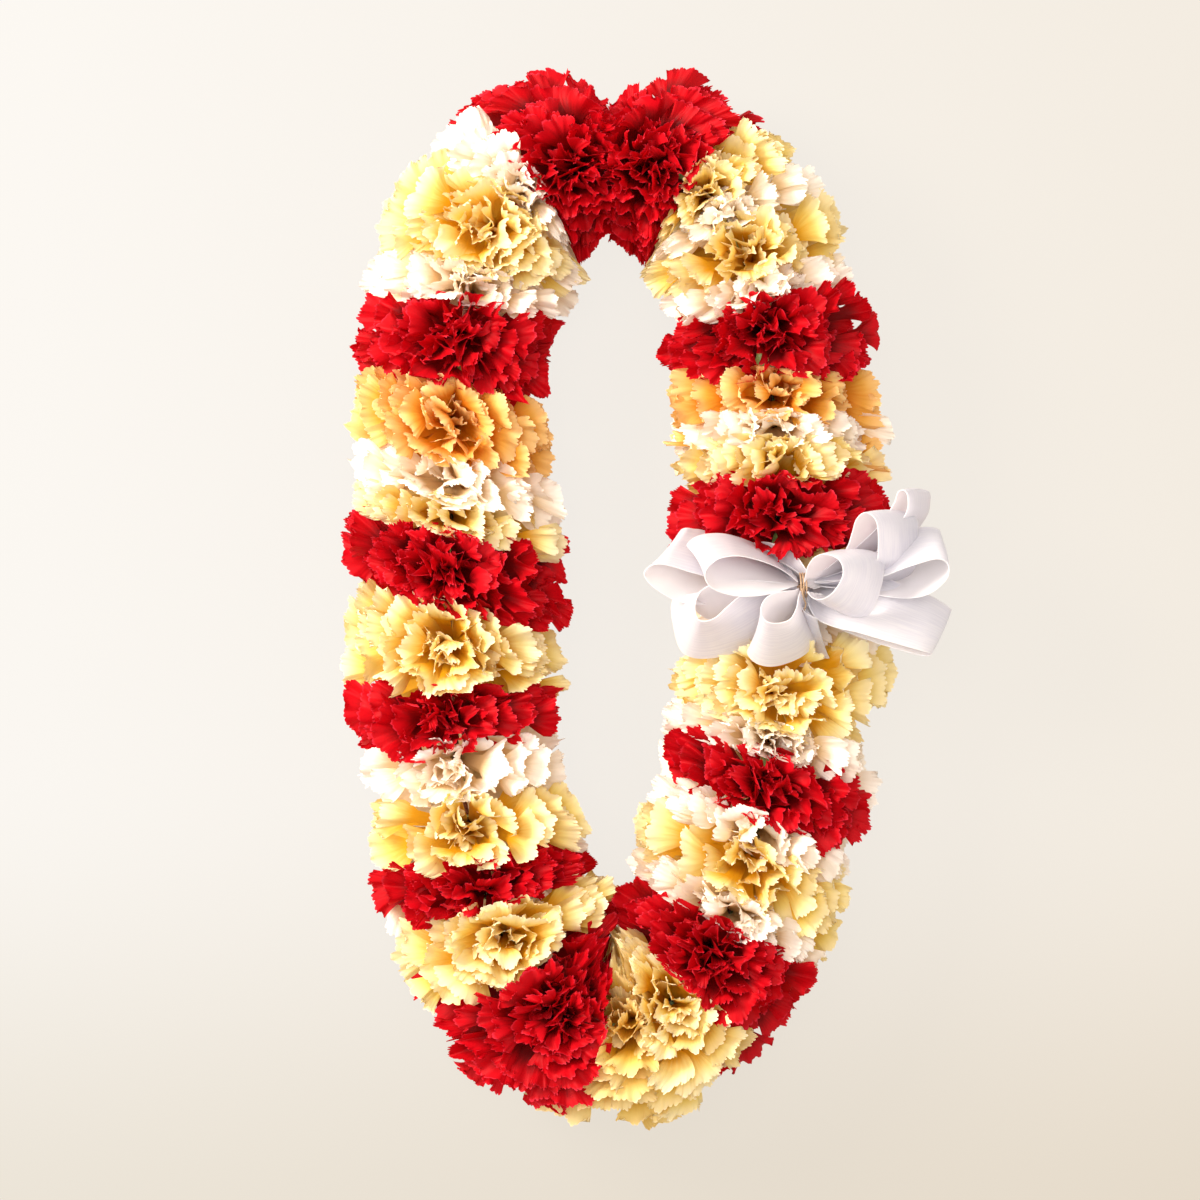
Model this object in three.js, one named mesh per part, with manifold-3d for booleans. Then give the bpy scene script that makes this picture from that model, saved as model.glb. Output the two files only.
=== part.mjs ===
// A fresh carnation lei, laid down flat, with a white satin bow tied to one side of it.
// Units are millimetres. The loop lies in the XY plane, +Y is its top end and +Z is up.
// Every flower head is threaded sideways through its calyx on one string: the front row faces up,
// the back row faces the surface that the lei lies on.
import * as THREE from "three";
import { mergeVertices } from "three/addons/utils/BufferGeometryUtils.js";
import Module from "manifold-3d";

const wasm = await Module();
wasm.setup();

// The string's loop: a superellipse, squarer at the top than at the bottom
const LOOP_HALF_WIDTH = 79;
const LOOP_HALF_LENGTH = 206;
const TOP_ROUNDNESS = 3.2;
const BOTTOM_ROUNDNESS = 2.2;
const LOOP_SAMPLES = 8000;

// The strand of flowers round the string
const STRAND_RADIUS = 49;
const STRING_HEIGHT = 47;
const STRING_RADIUS = 1.2;
const STRING_SIDES = 5;
const HEAD_GAP = 0.4;

// Calyx, the green cup under the petals that the string goes through
const CALYX_RADIUS = 5.6;
const CALYX_FOOT_RADIUS = 4.4;
const CALYX_SIDES = 5;
const CALYX_TOP = 8.7;
const CALYX_WAIST = 4;
const CALYX_FOOT = -6.4;
const CALYX_ROOM = 6.5;
const STRAIGHT_ENOUGH = 0.6;
const STRING_HOLE_RADIUS = 2.0;
const HOLE_OVERRUN = 12;
const ROOM_OVER_STRING = 9.2;
const ROOM_HALF_WIDTH = 7.5;
const ROOM_AT_EDGE = 0.6;
const PETAL_CLEARANCE = 0.3;

// Whorls of petals from the lowest up. Spreads are shares of the head's half sizes, heights are
// above the string: the tips of the petals, and the fold that runs round inside them.
const WHORLS = [
  { across: 1.0, along: 1.0, tip: 4, foldAcross: 0.66, foldAlong: 0.74, fold: 11 },
  { across: 0.95, along: 1.0, tip: 20, foldAcross: 0.57, foldAlong: 0.68, fold: 19 },
  { across: 0.79, along: 0.97, tip: 36, foldAcross: 0.37, foldAlong: 0.5, fold: 29 },
];
const CROWN = { across: 0.52, along: 0.76, tip: 49, eyeHeight: 36 };
const CROWN_DIP = { across: 8, height: 7 };
const FLAT_SPOT = { across: 0.33, along: 0.5, tip: 49 };
const FOOTPRINT_ROUNDNESS = 2.7;
const FOOTPRINT_SAMPLES = 240;
const PETAL_PITCH = 13;
const MOST_PETAL_POINTS = 18;
const NOTCH_ACROSS = 8;
const NOTCH_ALONG_SHARE = 0.24;
const NOTCH_ALONG_MOST = 4;
const NOTCH_RISE = 3.5;
const RUFFLE = 1.6;
const RADIUS_JITTER = 0.025;

// Front heads in order from the top, anticlockwise: petal colour and length along the string
const FRONT_HEADS = [
  ["red", 40],
  ["white", 15],
  ["yellow", 39],
  ["white", 17],
  ["red", 38],
  ["golden", 38],
  ["white", 19],
  ["yellow", 16],
  ["red", 37],
  ["yellow", 38],
  ["red", 27],
  ["white", 27],
  ["yellow", 29],
  ["red", 24],
  ["yellow", 36],
  ["red", 50],
  ["cream", 20],
  ["yellow", 30],
  ["red", 34],
  ["white", 15],
  ["yellow", 26],
  ["white", 14],
  ["red", 30],
  ["white", 14],
  ["yellow", 33],
  ["white", 34],
  ["cream", 17],
  ["red", 36],
  ["yellow", 15],
  ["white", 15],
  ["golden", 20],
  ["red", 34],
  ["white", 13],
  ["yellow", 27],
  ["white", 14],
  ["yellow", 17],
  ["red", 40],
];
// The bow presses down the two heads that it is tied between
const BOW_AFTER_HEAD = 26;
const PRESSED_HEIGHT = 29;
const TIE_ROOM = 1.5;

// How far the heads stand askew: at each length along the string, the shift along it for each
// millimetre outwards. Between these places it changes evenly.
const SLANTS = [
  { along: 0, shift: 0 },
  { along: 42, shift: 0.1 },
  { along: 109, shift: 0.03 },
  { along: 154, shift: -0.14 },
  { along: 194, shift: -0.18 },
  { along: 237, shift: -0.28 },
  { along: 268, shift: -0.3 },
  { along: 304, shift: 0.04 },
  { along: 330, shift: 0 },
  { along: 380, shift: -0.17 },
  { along: 408, shift: -0.04 },
  { along: 490, shift: -0.12 },
  { along: 546, shift: -0.02 },
  { along: 576, shift: -0.14 },
  { along: 612, shift: -0.25 },
  { along: 652, shift: -0.19 },
  { along: 705, shift: 0 },
  { along: 780, shift: 0 },
  { along: 834, shift: -0.12 },
  { along: 865, shift: 0.05 },
  { along: 920, shift: -0.1 },
  { along: 1000, shift: 0 },
];

// Back heads, all of one length, in the same order
const BACK_HEADS = [
  "red",
  "white",
  "red",
  "golden",
  "red",
  "yellow",
  "white",
  "white",
  "red",
  "cream",
  "red",
  "yellow",
  "white",
  "yellow",
  "red",
  "golden",
  "red",
  "yellow",
  "red",
];

// Knot where the string's two ends are tied, at the top of the loop
const KNOT_RADIUS = 3.2;
const KNOT_ROOM = 2.6;
const TAIL_RADIUS = 0.9;
const STRING_TAILS = [
  [-0.8, -27, 3],
  [0.8, -23, -3],
];

// Satin bow: loops of one ribbon round a knot. Tips are places from the knot, widths are the
// directions across the ribbon at the tip, and open is how far a loop's two runs stand apart.
const RIBBON_WIDTH = 36;
const RIBBON_GATHERED = 6;
const RIBBON_THICKNESS = 1;
const BOW_FROM_STRAND = 9.5;
const BOW_KNOT_HEIGHT = 97;
const BOW_KNOT = { across: 16, along: 17, height: 13 };
const RIBBON_LOOPS = [
  { name: "left far", tip: [-65, 14, -3], width: [-0.46, -0.48, 0.75], open: 15 },
  { name: "left low", tip: [-53, -22, 2], width: [0.23, 0.38, 0.9], open: 18 },
  { name: "left near", tip: [-49, 11, 15], width: [0.21, -0.38, 0.9], open: 18 },
  { name: "top left", tip: [-31, 19, 6], width: [0.56, 0.22, 0.8], open: 14 },
  { name: "bottom", tip: [-17, -28, 17], width: [0.09, 0.56, 0.82], open: 18 },
  { name: "front right", tip: [29, 9, 22], width: [-0.59, -0.06, 0.8], open: 22 },
  { name: "upper right", tip: [45, 30, 7], width: [-0.59, 0, 0.81], open: 16 },
  { name: "far right", tip: [56, 43, -4], width: [-0.39, 0, 0.92], open: 14 },
  { name: "right", tip: [67, 16, -5], width: [0, -0.36, 0.93], open: 15 },
  { name: "low right", tip: [66, -21, -9], width: [-0.34, -0.58, 0.74], open: 15 },
];
const LOOP_STEPS = 5;
const LOOP_START = 0.07;
const GATHER_POWER = 3;

// Wire that ties the bow's knot to the string, and the room that it takes on it to each side
const WIRE_RADIUS = 0.7;
const WIRE_ROOM = 1.2;
const WIRE_SIDES = 5;
const WIRE_HOLE_RADIUS = 1.3;

// Materials
const COLOURS = {
  red: 0xc4122a,
  golden: 0xefbf5e,
  yellow: 0xf0d67f,
  cream: 0xf3e0aa,
  white: 0xf8efe6,
};
const petals = Object.fromEntries(
  Object.entries(COLOURS).map(([name, color]) => [
    name,
    new THREE.MeshStandardMaterial({ color, roughness: 0.75 }),
  ]),
);
const cotton = new THREE.MeshStandardMaterial({ color: 0x6b3a2e, roughness: 0.9 });
const satin = new THREE.MeshStandardMaterial({ color: 0xf4f1f2, roughness: 0.35 });
const wireMaterial = new THREE.MeshStandardMaterial({ color: 0xe6dccf, roughness: 0.4 });

// A seeded random draw between -1 and 1
function randomDraw(seed) {
  let state = seed * 2654435761;
  return () => {
    state = (Math.imul(state ^ (state >>> 15), 2246822519) + 374761393) >>> 0;
    return (state / 4294967296) * 2 - 1;
  };
}

function power(value, exponent) {
  return Math.sign(value) * Math.abs(value) ** exponent;
}

// The loop as points with the length of string up to each, from the top centre, anticlockwise
const loop = [];
for (let i = 0; i <= LOOP_SAMPLES; i++) {
  const angle = Math.PI / 2 + (2 * Math.PI * i) / LOOP_SAMPLES;
  const exponent = 2 / (Math.sin(angle) > 0 ? TOP_ROUNDNESS : BOTTOM_ROUNDNESS);
  const x = LOOP_HALF_WIDTH * power(Math.cos(angle), exponent);
  const y = LOOP_HALF_LENGTH * power(Math.sin(angle), exponent);
  const before = loop.at(-1);
  const length = before ? before.length + Math.hypot(x - before.x, y - before.y) : 0;
  loop.push({ x, y, length });
}
const LOOP_LENGTH = loop.at(-1).length;

function onLoop(along) {
  const s = ((along % LOOP_LENGTH) + LOOP_LENGTH) % LOOP_LENGTH;
  let low = 0;
  let high = LOOP_SAMPLES;
  while (high - low > 1) {
    const middle = (low + high) >> 1;
    if (loop[middle].length > s) high = middle;
    else low = middle;
  }
  const share = (s - loop[low].length) / (loop[high].length - loop[low].length || 1);
  return new THREE.Vector2(
    THREE.MathUtils.lerp(loop[low].x, loop[high].x, share),
    THREE.MathUtils.lerp(loop[low].y, loop[high].y, share),
  );
}

// Unit vector that points out of the loop, taken over a short stretch of string
const TANGENT_STEP = 3;
function outward(along) {
  const run = onLoop(along + TANGENT_STEP).sub(onLoop(along - TANGENT_STEP)).normalize();
  return new THREE.Vector2(run.y, -run.x);
}

// How far petals may reach into the loop before they meet those from round the bend
const MIDLINE_SHARE = 0.97;
const BEND_SHARE = 0.86;
function innerReach(along) {
  const normal = outward(along);
  const turn = Math.acos(
    THREE.MathUtils.clamp(outward(along + 6).dot(outward(along - 6)), -1, 1),
  );
  const bendRadius = turn > 0 ? 12 / turn : Infinity;
  const point = onLoop(along);
  const toMidline = Math.abs(point.x) / Math.max(Math.abs(normal.x), 1e-3);
  const midline = Math.abs(point.x) < 2 ? Infinity : toMidline;
  return Math.min(STRAND_RADIUS, MIDLINE_SHARE * midline, BEND_SHARE * bendRadius);
}

// Where a point at this length along the string and this far outwards is shifted to
function askew(along, out) {
  const next = SLANTS.findIndex((slant) => slant.along > along);
  if (next < 1) return along;
  const [before, after] = [SLANTS[next - 1], SLANTS[next]];
  const share = (along - before.along) / (after.along - before.along);
  return along + THREE.MathUtils.lerp(before.shift, after.shift, share) * out;
}

// A point given by string length, distance out of the loop and height above the string
function place(along, out, height) {
  const point = onLoop(along);
  const share = out < 0 ? innerReach(along) / STRAND_RADIUS : 1;
  point.addScaledVector(outward(along), out * share);
  return new THREE.Vector3(point.x, point.y, STRING_HEIGHT + height);
}

// Closed bodies from rings of points
class Body {
  positions = [];
  faces = [];
  add(points) {
    const first = this.positions.length;
    this.positions.push(...points);
    return points.map((_, i) => first + i);
  }
  // Joins two rings, which may have different counts, with one band of triangles
  band(lower, upper) {
    let i = 0;
    let j = 0;
    while (i < lower.length || j < upper.length) {
      const a = lower[i % lower.length];
      const b = upper[j % upper.length];
      const lowerNext = (i + 1) / lower.length;
      const upperNext = (j + 1) / upper.length;
      if (j === upper.length || (i < lower.length && lowerNext <= upperNext)) {
        i += 1;
        this.faces.push([a, lower[i % lower.length], b]);
      } else {
        j += 1;
        this.faces.push([a, upper[j % upper.length], b]);
      }
    }
  }
  // Joins two four-cornered sections of a ribbon, split into triangles alike on both faces
  ribbonBand(lower, upper) {
    for (let k = 0; k < 4; k++) {
      const [a, b] = [lower[k], lower[(k + 1) % 4]];
      const [c, d] = [upper[k], upper[(k + 1) % 4]];
      if (k === 2) this.faces.push([a, b, d], [a, d, c]);
      else this.faces.push([a, b, c], [b, d, c]);
    }
  }
  // Closes a ring with a flat fan, facing down the ring's order or up it
  cap(ring, up) {
    for (let i = 1; i < ring.length - 1; i++) {
      const face = [ring[0], ring[i], ring[i + 1]];
      this.faces.push(up ? face : face.reverse());
    }
  }
  solid() {
    const corners = this.positions.flatMap((point) => point.toArray());
    let volume = 0;
    for (const [a, b, c] of this.faces) {
      const cross = this.positions[b].clone().cross(this.positions[c]);
      volume += this.positions[a].dot(cross);
    }
    const facingOut = volume > 0 ? this.faces : this.faces.map((face) => [...face].reverse());
    return new wasm.Manifold(
      new wasm.Mesh({
        numProp: 3,
        vertProperties: new Float32Array(corners),
        triVerts: new Uint32Array(facingOut.flat()),
      }),
    );
  }
}

// A three.js geometry as a closed solid
function solidOf(geometry) {
  const bare = geometry.clone();
  bare.deleteAttribute("normal");
  bare.deleteAttribute("uv");
  const merged = mergeVertices(bare, 1e-4);
  return new wasm.Manifold(
    new wasm.Mesh({
      numProp: 3,
      vertProperties: merged.attributes.position.array,
      triVerts: new Uint32Array(merged.index.array),
    }),
  );
}

function geometryOf(solid) {
  const mesh = solid.getMesh();
  const geometry = new THREE.BufferGeometry();
  geometry.setAttribute("position", new THREE.BufferAttribute(mesh.vertProperties, 3));
  geometry.setIndex(new THREE.BufferAttribute(mesh.triVerts, 1));
  geometry.computeVertexNormals();
  return geometry;
}

// A closed prism or round bar between two points
function barBetween(start, end, radius, sides) {
  const run = end.clone().sub(start);
  const bar = new THREE.CylinderGeometry(radius, radius, run.length(), sides);
  const turn = new THREE.Quaternion().setFromUnitVectors(
    new THREE.Vector3(0, 1, 0),
    run.clone().normalize(),
  );
  bar.applyQuaternion(turn);
  bar.translate(...start.clone().add(end).multiplyScalar(0.5).toArray());
  return solidOf(bar);
}

// Angles that space points evenly along the outline of a flower head seen from its face
function evenAngles(count, halfAlong, halfAcross) {
  const outline = [];
  let length = 0;
  for (let i = 0; i <= FOOTPRINT_SAMPLES; i++) {
    const angle = (2 * Math.PI * i) / FOOTPRINT_SAMPLES;
    const u = halfAlong * power(Math.cos(angle), 2 / FOOTPRINT_ROUNDNESS);
    const w = halfAcross * power(Math.sin(angle), 2 / FOOTPRINT_ROUNDNESS);
    if (i > 0) length += Math.hypot(u - outline.at(-1).u, w - outline.at(-1).w);
    outline.push({ angle, u, w, length });
  }
  const angles = [];
  for (let k = 0; k < count; k++) {
    const wanted = ((k + 0.5) * length) / count;
    angles.push(outline.find((point) => point.length >= wanted).angle);
  }
  return angles;
}

// Height that leaves room for the string and for the other row's calyxes
function roomOver(out) {
  const share = (Math.abs(out) - ROOM_HALF_WIDTH) / (STRAND_RADIUS - ROOM_HALF_WIDTH);
  return THREE.MathUtils.lerp(ROOM_OVER_STRING, ROOM_AT_EDGE, THREE.MathUtils.clamp(share, 0, 1));
}

// One flower head: whorls of notched petals over a calyx, as one closed surface.
// side is 1 for a head that faces up and -1 for one that faces the surface.
function flowerHead({ from, to, side, height, calyx, seed }) {
  const draw = randomDraw(seed);
  const centre = (from + to) / 2;
  const halfAlong = (to - from - HEAD_GAP) / 2;
  const lowest = WHORLS[0].fold;
  const rise = (height - lowest) / (STRAND_RADIUS - lowest);
  const level = (z) => lowest + (z - lowest) * (z > lowest ? rise : 1);
  const outlineLength = 4 * (halfAlong + STRAND_RADIUS) * 0.86;
  const wanted = 2 * Math.round(outlineLength / PETAL_PITCH / 2);
  const count = Math.min(MOST_PETAL_POINTS, wanted);
  const angles = evenAngles(count, halfAlong, STRAND_RADIUS);
  const notchAlong = Math.min(NOTCH_ALONG_MOST, NOTCH_ALONG_SHARE * halfAlong);
  const at = (u, w, z) => place(askew(centre + u, w), w, side * z);

  // A ring of points round the head's axis. Every second one, from the first or the second on,
  // can be a notch between two petals, which lies further in and at another height.
  const ring = ({ along, across, z, points = angles, notch = null, loose = 0 }) =>
    points.map((angle, k) => {
      const cosine = power(Math.cos(angle), 2 / FOOTPRINT_ROUNDNESS);
      const sine = power(Math.sin(angle), 2 / FOOTPRINT_ROUNDNESS);
      const isNotch = notch !== null && k % 2 === notch.first ? 1 : 0;
      const spread = 1 - loose * RADIUS_JITTER * (1 + draw());
      const inAlong = isNotch * notchAlong;
      const inAcross = isNotch ? notch.across : 0;
      const u = (along * halfAlong * spread - inAlong) * cosine;
      const w = (across * STRAND_RADIUS * spread - inAcross) * sine;
      const lift = isNotch ? notch.rise : 0;
      const wave = loose * RUFFLE * draw();
      return at(u, w, Math.max(level(z) + lift * rise + wave, roomOver(w) + PETAL_CLEARANCE));
    });

  // Calyx rings, from its foot to where the petals leave it
  const body = new Body();
  const topRadius = Math.min(CALYX_RADIUS, halfAlong - 0.6);
  const slack = Math.max(0, halfAlong - topRadius - 0.2);
  const topCentre = THREE.MathUtils.clamp(calyx - centre, -slack, slack);
  const calyxRing = (centreAlong, radius, z) => {
    const points = [];
    for (let k = 0; k < CALYX_SIDES; k++) {
      const angle = (2 * Math.PI * (k + 0.25)) / CALYX_SIDES;
      const u = centreAlong + radius * Math.cos(angle);
      points.push(at(u, radius * Math.sin(angle), z));
    }
    return body.add(points);
  };
  const foot = calyxRing(calyx - centre, CALYX_FOOT_RADIUS, CALYX_FOOT);
  const top = calyxRing(topCentre, topRadius, CALYX_TOP);
  const leans = Math.abs(calyx - centre - topCentre) > STRAIGHT_ENOUGH;
  body.cap(foot, false);
  if (leans) {
    const waist = calyxRing(calyx - centre, CALYX_RADIUS, CALYX_WAIST);
    body.band(foot, waist);
    body.band(waist, top);
  } else {
    body.band(foot, top);
  }

  // Petal tips and the folds inside them, whorl by whorl
  let below = top;
  WHORLS.forEach((whorl, k) => {
    const notch = { first: k % 2, across: NOTCH_ACROSS, rise: k === 0 ? NOTCH_RISE : -NOTCH_RISE };
    const { along, across, tip: z } = whorl;
    const tips = body.add(ring({ along, across, z, notch, loose: 1 }));
    const inner = { along: whorl.foldAlong, across: whorl.foldAcross, z: whorl.fold };
    const fold = body.add(ring(inner));
    body.band(below, tips);
    body.band(tips, fold);
    below = fold;
  });

  // The crown stands round a sunken eye, or rests as a flat spot on the surface
  const points = angles.filter((_, k) => k % 2 === 0);
  const dip = { first: 1, across: CROWN_DIP.across, rise: -CROWN_DIP.height };
  const notch = side > 0 ? dip : null;
  const { along, across, tip: z } = side > 0 ? CROWN : FLAT_SPOT;
  const crown = body.add(ring({ along, across, z, points, notch }));
  body.band(below, crown);
  if (side > 0) {
    const eye = body.add([at(0, 0, level(CROWN.eyeHeight))]);
    body.band(crown, eye);
  } else {
    body.cap(crown, true);
  }
  return body;
}

// Places of the calyxes: under the middle of each head, then pushed apart along the string
const frontTotal = FRONT_HEADS.reduce((sum, [, length]) => sum + length, 0);
const heads = [];
let reached = 0;
FRONT_HEADS.forEach(([colour, length], i) => {
  const from = (reached / frontTotal) * LOOP_LENGTH;
  reached += length;
  const to = (reached / frontTotal) * LOOP_LENGTH;
  heads.push({ row: "front", side: 1, number: i + 1, colour, from, to, height: STRAND_RADIUS });
});
BACK_HEADS.forEach((colour, i) => {
  const from = (i / BACK_HEADS.length) * LOOP_LENGTH;
  const to = ((i + 1) / BACK_HEADS.length) * LOOP_LENGTH;
  heads.push({ row: "back", side: -1, number: i + 1, colour, from, to, height: STRING_HEIGHT });
});
heads[0].from += KNOT_ROOM;
heads[FRONT_HEADS.length - 1].to -= KNOT_ROOM;
heads[FRONT_HEADS.length].from += KNOT_ROOM;
heads.at(-1).to -= KNOT_ROOM;
const bowAt = heads[BOW_AFTER_HEAD - 1].to;
heads[BOW_AFTER_HEAD - 1].to -= TIE_ROOM;
heads[BOW_AFTER_HEAD].from += TIE_ROOM;
heads[BOW_AFTER_HEAD - 1].height = PRESSED_HEIGHT;
heads[BOW_AFTER_HEAD].height = PRESSED_HEIGHT;

const order = [...heads].sort((a, b) => a.from + a.to - b.from - b.to);
for (const head of order) {
  head.calyx = (head.from + head.to) / 2;
  head.room = CALYX_ROOM;
}
const fixed = [
  { calyx: 0, room: CALYX_ROOM },
  { calyx: bowAt, room: WIRE_ROOM },
  { calyx: LOOP_LENGTH, room: CALYX_ROOM },
];
const beads = [...fixed, ...order].sort((a, b) => a.calyx - b.calyx);
const SPREADING_ROUNDS = 400;
for (let round = 0; round < SPREADING_ROUNDS; round++) {
  for (let i = 1; i < beads.length; i++) {
    const [low, high] = [beads[i - 1], beads[i]];
    const lack = low.room + high.room - (high.calyx - low.calyx);
    if (lack <= 0) continue;
    const lowFixed = fixed.includes(low);
    const highFixed = fixed.includes(high);
    if (!lowFixed) low.calyx -= highFixed ? lack : lack / 2;
    if (!highFixed) high.calyx += lowFixed ? lack : lack / 2;
  }
}

// The string bends only between calyxes, so that it runs straight through each of them
const bends = order.map((head, i) => {
  const next = order[(i + 1) % order.length];
  const wrap = i === order.length - 1 ? LOOP_LENGTH : 0;
  return place((head.calyx + next.calyx + wrap) / 2, 0, 0);
});

function closedTube(points, radius, sides, up) {
  const body = new Body();
  const rings = points.map((point, i) => {
    const before = points[(i + points.length - 1) % points.length];
    const after = points[(i + 1) % points.length];
    const run = after.clone().sub(before).normalize();
    const sideways = run.clone().cross(up).normalize();
    const upright = sideways.clone().cross(run);
    const halfTurn = point.clone().sub(before).normalize().dot(run);
    return body.add(
      Array.from({ length: sides }, (_, k) => {
        const angle = (2 * Math.PI * (k + 0.5)) / sides;
        return point
          .clone()
          .addScaledVector(sideways, (radius * Math.cos(angle)) / halfTurn)
          .addScaledVector(upright, radius * Math.sin(angle));
      }),
    );
  });
  rings.forEach((ring, i) => body.band(ring, rings[(i + 1) % rings.length]));
  return body.solid();
}

function stringWithKnot() {
  const knotPoint = bends.at(-1);
  const tube = closedTube(bends, STRING_RADIUS, STRING_SIDES, new THREE.Vector3(0, 0, 1));
  const knot = new THREE.IcosahedronGeometry(KNOT_RADIUS, 0);
  knot.translate(...knotPoint.toArray());
  const tails = STRING_TAILS.map((tail) => {
    const end = knotPoint.clone().add(new THREE.Vector3(...tail));
    return barBetween(knotPoint, end, TAIL_RADIUS, WIRE_SIDES);
  });
  return tails.reduce((whole, tail) => whole.add(tail), tube.add(solidOf(knot)));
}

function headSolid(head, i) {
  const solid = flowerHead({ ...head, seed: 17 + i }).solid();
  const index = order.indexOf(head);
  const before = bends[(index + bends.length - 1) % bends.length];
  const after = bends[index];
  const run = after.clone().sub(before).normalize();
  const middle = before.clone().add(after).multiplyScalar(0.5);
  const start = middle.clone().addScaledVector(run, -HOLE_OVERRUN);
  const end = middle.clone().addScaledVector(run, HOLE_OVERRUN);
  return solid.subtract(barBetween(start, end, STRING_HOLE_RADIUS, STRING_SIDES));
}

// Bow: each loop leaves the knot, turns back at its tip and returns
const bowKnot = place(bowAt, BOW_FROM_STRAND, BOW_KNOT_HEIGHT - STRING_HEIGHT);

function ribbonLoop({ tip, width, open }) {
  const reach = new THREE.Vector3(...tip);
  const across = new THREE.Vector3(...width).normalize();
  const apart = reach.clone().cross(across).normalize();
  const pathAt = (t) => {
    const out = Math.sin(Math.PI * t) ** 1.2;
    const side = Math.sin(2 * Math.PI * t) * Math.sin(Math.PI * t) ** 0.5;
    return bowKnot.clone().addScaledVector(reach, out).addScaledVector(apart, side * open * 0.6);
  };
  const body = new Body();
  const rings = [];
  for (let i = 0; i <= LOOP_STEPS; i++) {
    const t = THREE.MathUtils.lerp(LOOP_START, 1 - LOOP_START, i / LOOP_STEPS);
    const run = pathAt(t + 0.01).sub(pathAt(t - 0.01)).normalize();
    const spread = Math.sin(Math.PI * t) ** GATHER_POWER;
    const half = THREE.MathUtils.lerp(RIBBON_GATHERED, RIBBON_WIDTH, spread) / 2;
    const flat = across.clone().addScaledVector(run, -across.dot(run)).normalize();
    const face = run.clone().cross(flat).multiplyScalar(RIBBON_THICKNESS / 2);
    const corners = [
      [-1, -1],
      [1, -1],
      [1, 1],
      [-1, 1],
    ].map(([a, b]) =>
      pathAt(t).addScaledVector(flat, a * half).addScaledVector(face, b),
    );
    rings.push(body.add(corners));
  }
  for (let i = 0; i < LOOP_STEPS; i++) body.ribbonBand(rings[i], rings[i + 1]);
  body.cap(rings[0], false);
  body.cap(rings[LOOP_STEPS], true);
  return body.solid();
}

// The wire's path runs under the string and through a hole in the bow's knot
const ALONG_STRAND = new THREE.Vector3(0, 1, 0);
const wireOut = outward(bowAt);
function beside(out, height) {
  const point = onLoop(bowAt).addScaledVector(wireOut, out);
  return new THREE.Vector3(point.x, point.y, height);
}
const WIRE_CORNERS = [
  beside(-2.4, STRING_HEIGHT - 2.6),
  beside(2.4, STRING_HEIGHT - 2.6),
  beside(4.2, STRING_HEIGHT + 4),
  beside(BOW_FROM_STRAND + 8.4, BOW_KNOT_HEIGHT - 6.5),
  beside(BOW_FROM_STRAND + 7.4, BOW_KNOT_HEIGHT - 2.2),
  beside(BOW_FROM_STRAND - 7.4, BOW_KNOT_HEIGHT - 2.2),
  beside(BOW_FROM_STRAND - 8.4, BOW_KNOT_HEIGHT - 6.5),
  beside(-4.2, STRING_HEIGHT + 4),
];

function bowSolid() {
  const knot = new THREE.IcosahedronGeometry(0.5, 1);
  knot.scale(BOW_KNOT.across, BOW_KNOT.along, BOW_KNOT.height);
  knot.translate(...bowKnot.toArray());
  const loops = RIBBON_LOOPS.map(ribbonLoop);
  const joined = loops.reduce((sum, loopSolid) => sum.add(loopSolid), solidOf(knot));
  const [whole] = joined.decompose().sort((a, b) => b.volume() - a.volume());
  return whole.subtract(closedTube(WIRE_CORNERS, WIRE_HOLE_RADIUS, WIRE_SIDES, ALONG_STRAND));
}

// The lei
const lei = new THREE.Group();
function addMesh(name, solid, material) {
  const mesh = new THREE.Mesh(geometryOf(solid), material);
  mesh.name = name;
  lei.add(mesh);
}

heads.forEach((head, i) => {
  const number = String(head.number).padStart(2, "0");
  addMesh(`${head.row}_${number}_${head.colour}`, headSolid(head, i), petals[head.colour]);
});
addMesh("string", stringWithKnot(), cotton);
addMesh("satin_bow", bowSolid(), satin);
const wire = closedTube(WIRE_CORNERS, WIRE_RADIUS, WIRE_SIDES, ALONG_STRAND);
addMesh("bow_wire", wire, wireMaterial);

// The origin is under the middle of the whole part, on the surface that it lies on
const bounds = new THREE.Box3().setFromObject(lei);
const middle = bounds.getCenter(new THREE.Vector3());
lei.position.set(-middle.x, -middle.y, -bounds.min.z);

export default lei;
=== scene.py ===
# %% [markdown]
# # A fresh carnation lei with a satin bow
#
# The lei is one long string of carnation heads, tied into a loop and laid down on a table. A front
# row of heads faces up and a back row faces the table. A bow of white satin ribbon is wired to it.
#
# The solids already give the size and place of every head, of the bow and of the string. This
# lesson dresses them: each plain head gets real petals, and the bow gets soft ribbon loops.

import math

import bpy
import numpy as np
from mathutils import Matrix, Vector


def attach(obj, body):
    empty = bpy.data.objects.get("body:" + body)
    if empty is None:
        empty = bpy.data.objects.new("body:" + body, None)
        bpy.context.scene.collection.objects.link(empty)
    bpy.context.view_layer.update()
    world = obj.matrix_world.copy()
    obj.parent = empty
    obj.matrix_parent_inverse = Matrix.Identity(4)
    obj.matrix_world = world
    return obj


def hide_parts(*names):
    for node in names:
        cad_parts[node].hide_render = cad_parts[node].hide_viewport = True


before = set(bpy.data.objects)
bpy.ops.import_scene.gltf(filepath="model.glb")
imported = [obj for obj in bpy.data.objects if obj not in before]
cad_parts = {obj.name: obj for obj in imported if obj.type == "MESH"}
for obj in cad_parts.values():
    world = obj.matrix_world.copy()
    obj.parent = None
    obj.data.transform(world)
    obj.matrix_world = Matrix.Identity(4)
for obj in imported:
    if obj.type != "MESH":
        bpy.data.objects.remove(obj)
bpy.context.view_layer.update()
MM = 0.001

# %% [markdown]
# ## Camera
#
# The photograph looks the lei in the face. It lies on its back here, so the camera hangs straight
# above it and looks down. A long lens from well above keeps the perspective as mild as in the
# photograph. The size of the view is worked out at the height of the string, where the strand is
# widest.

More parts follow.
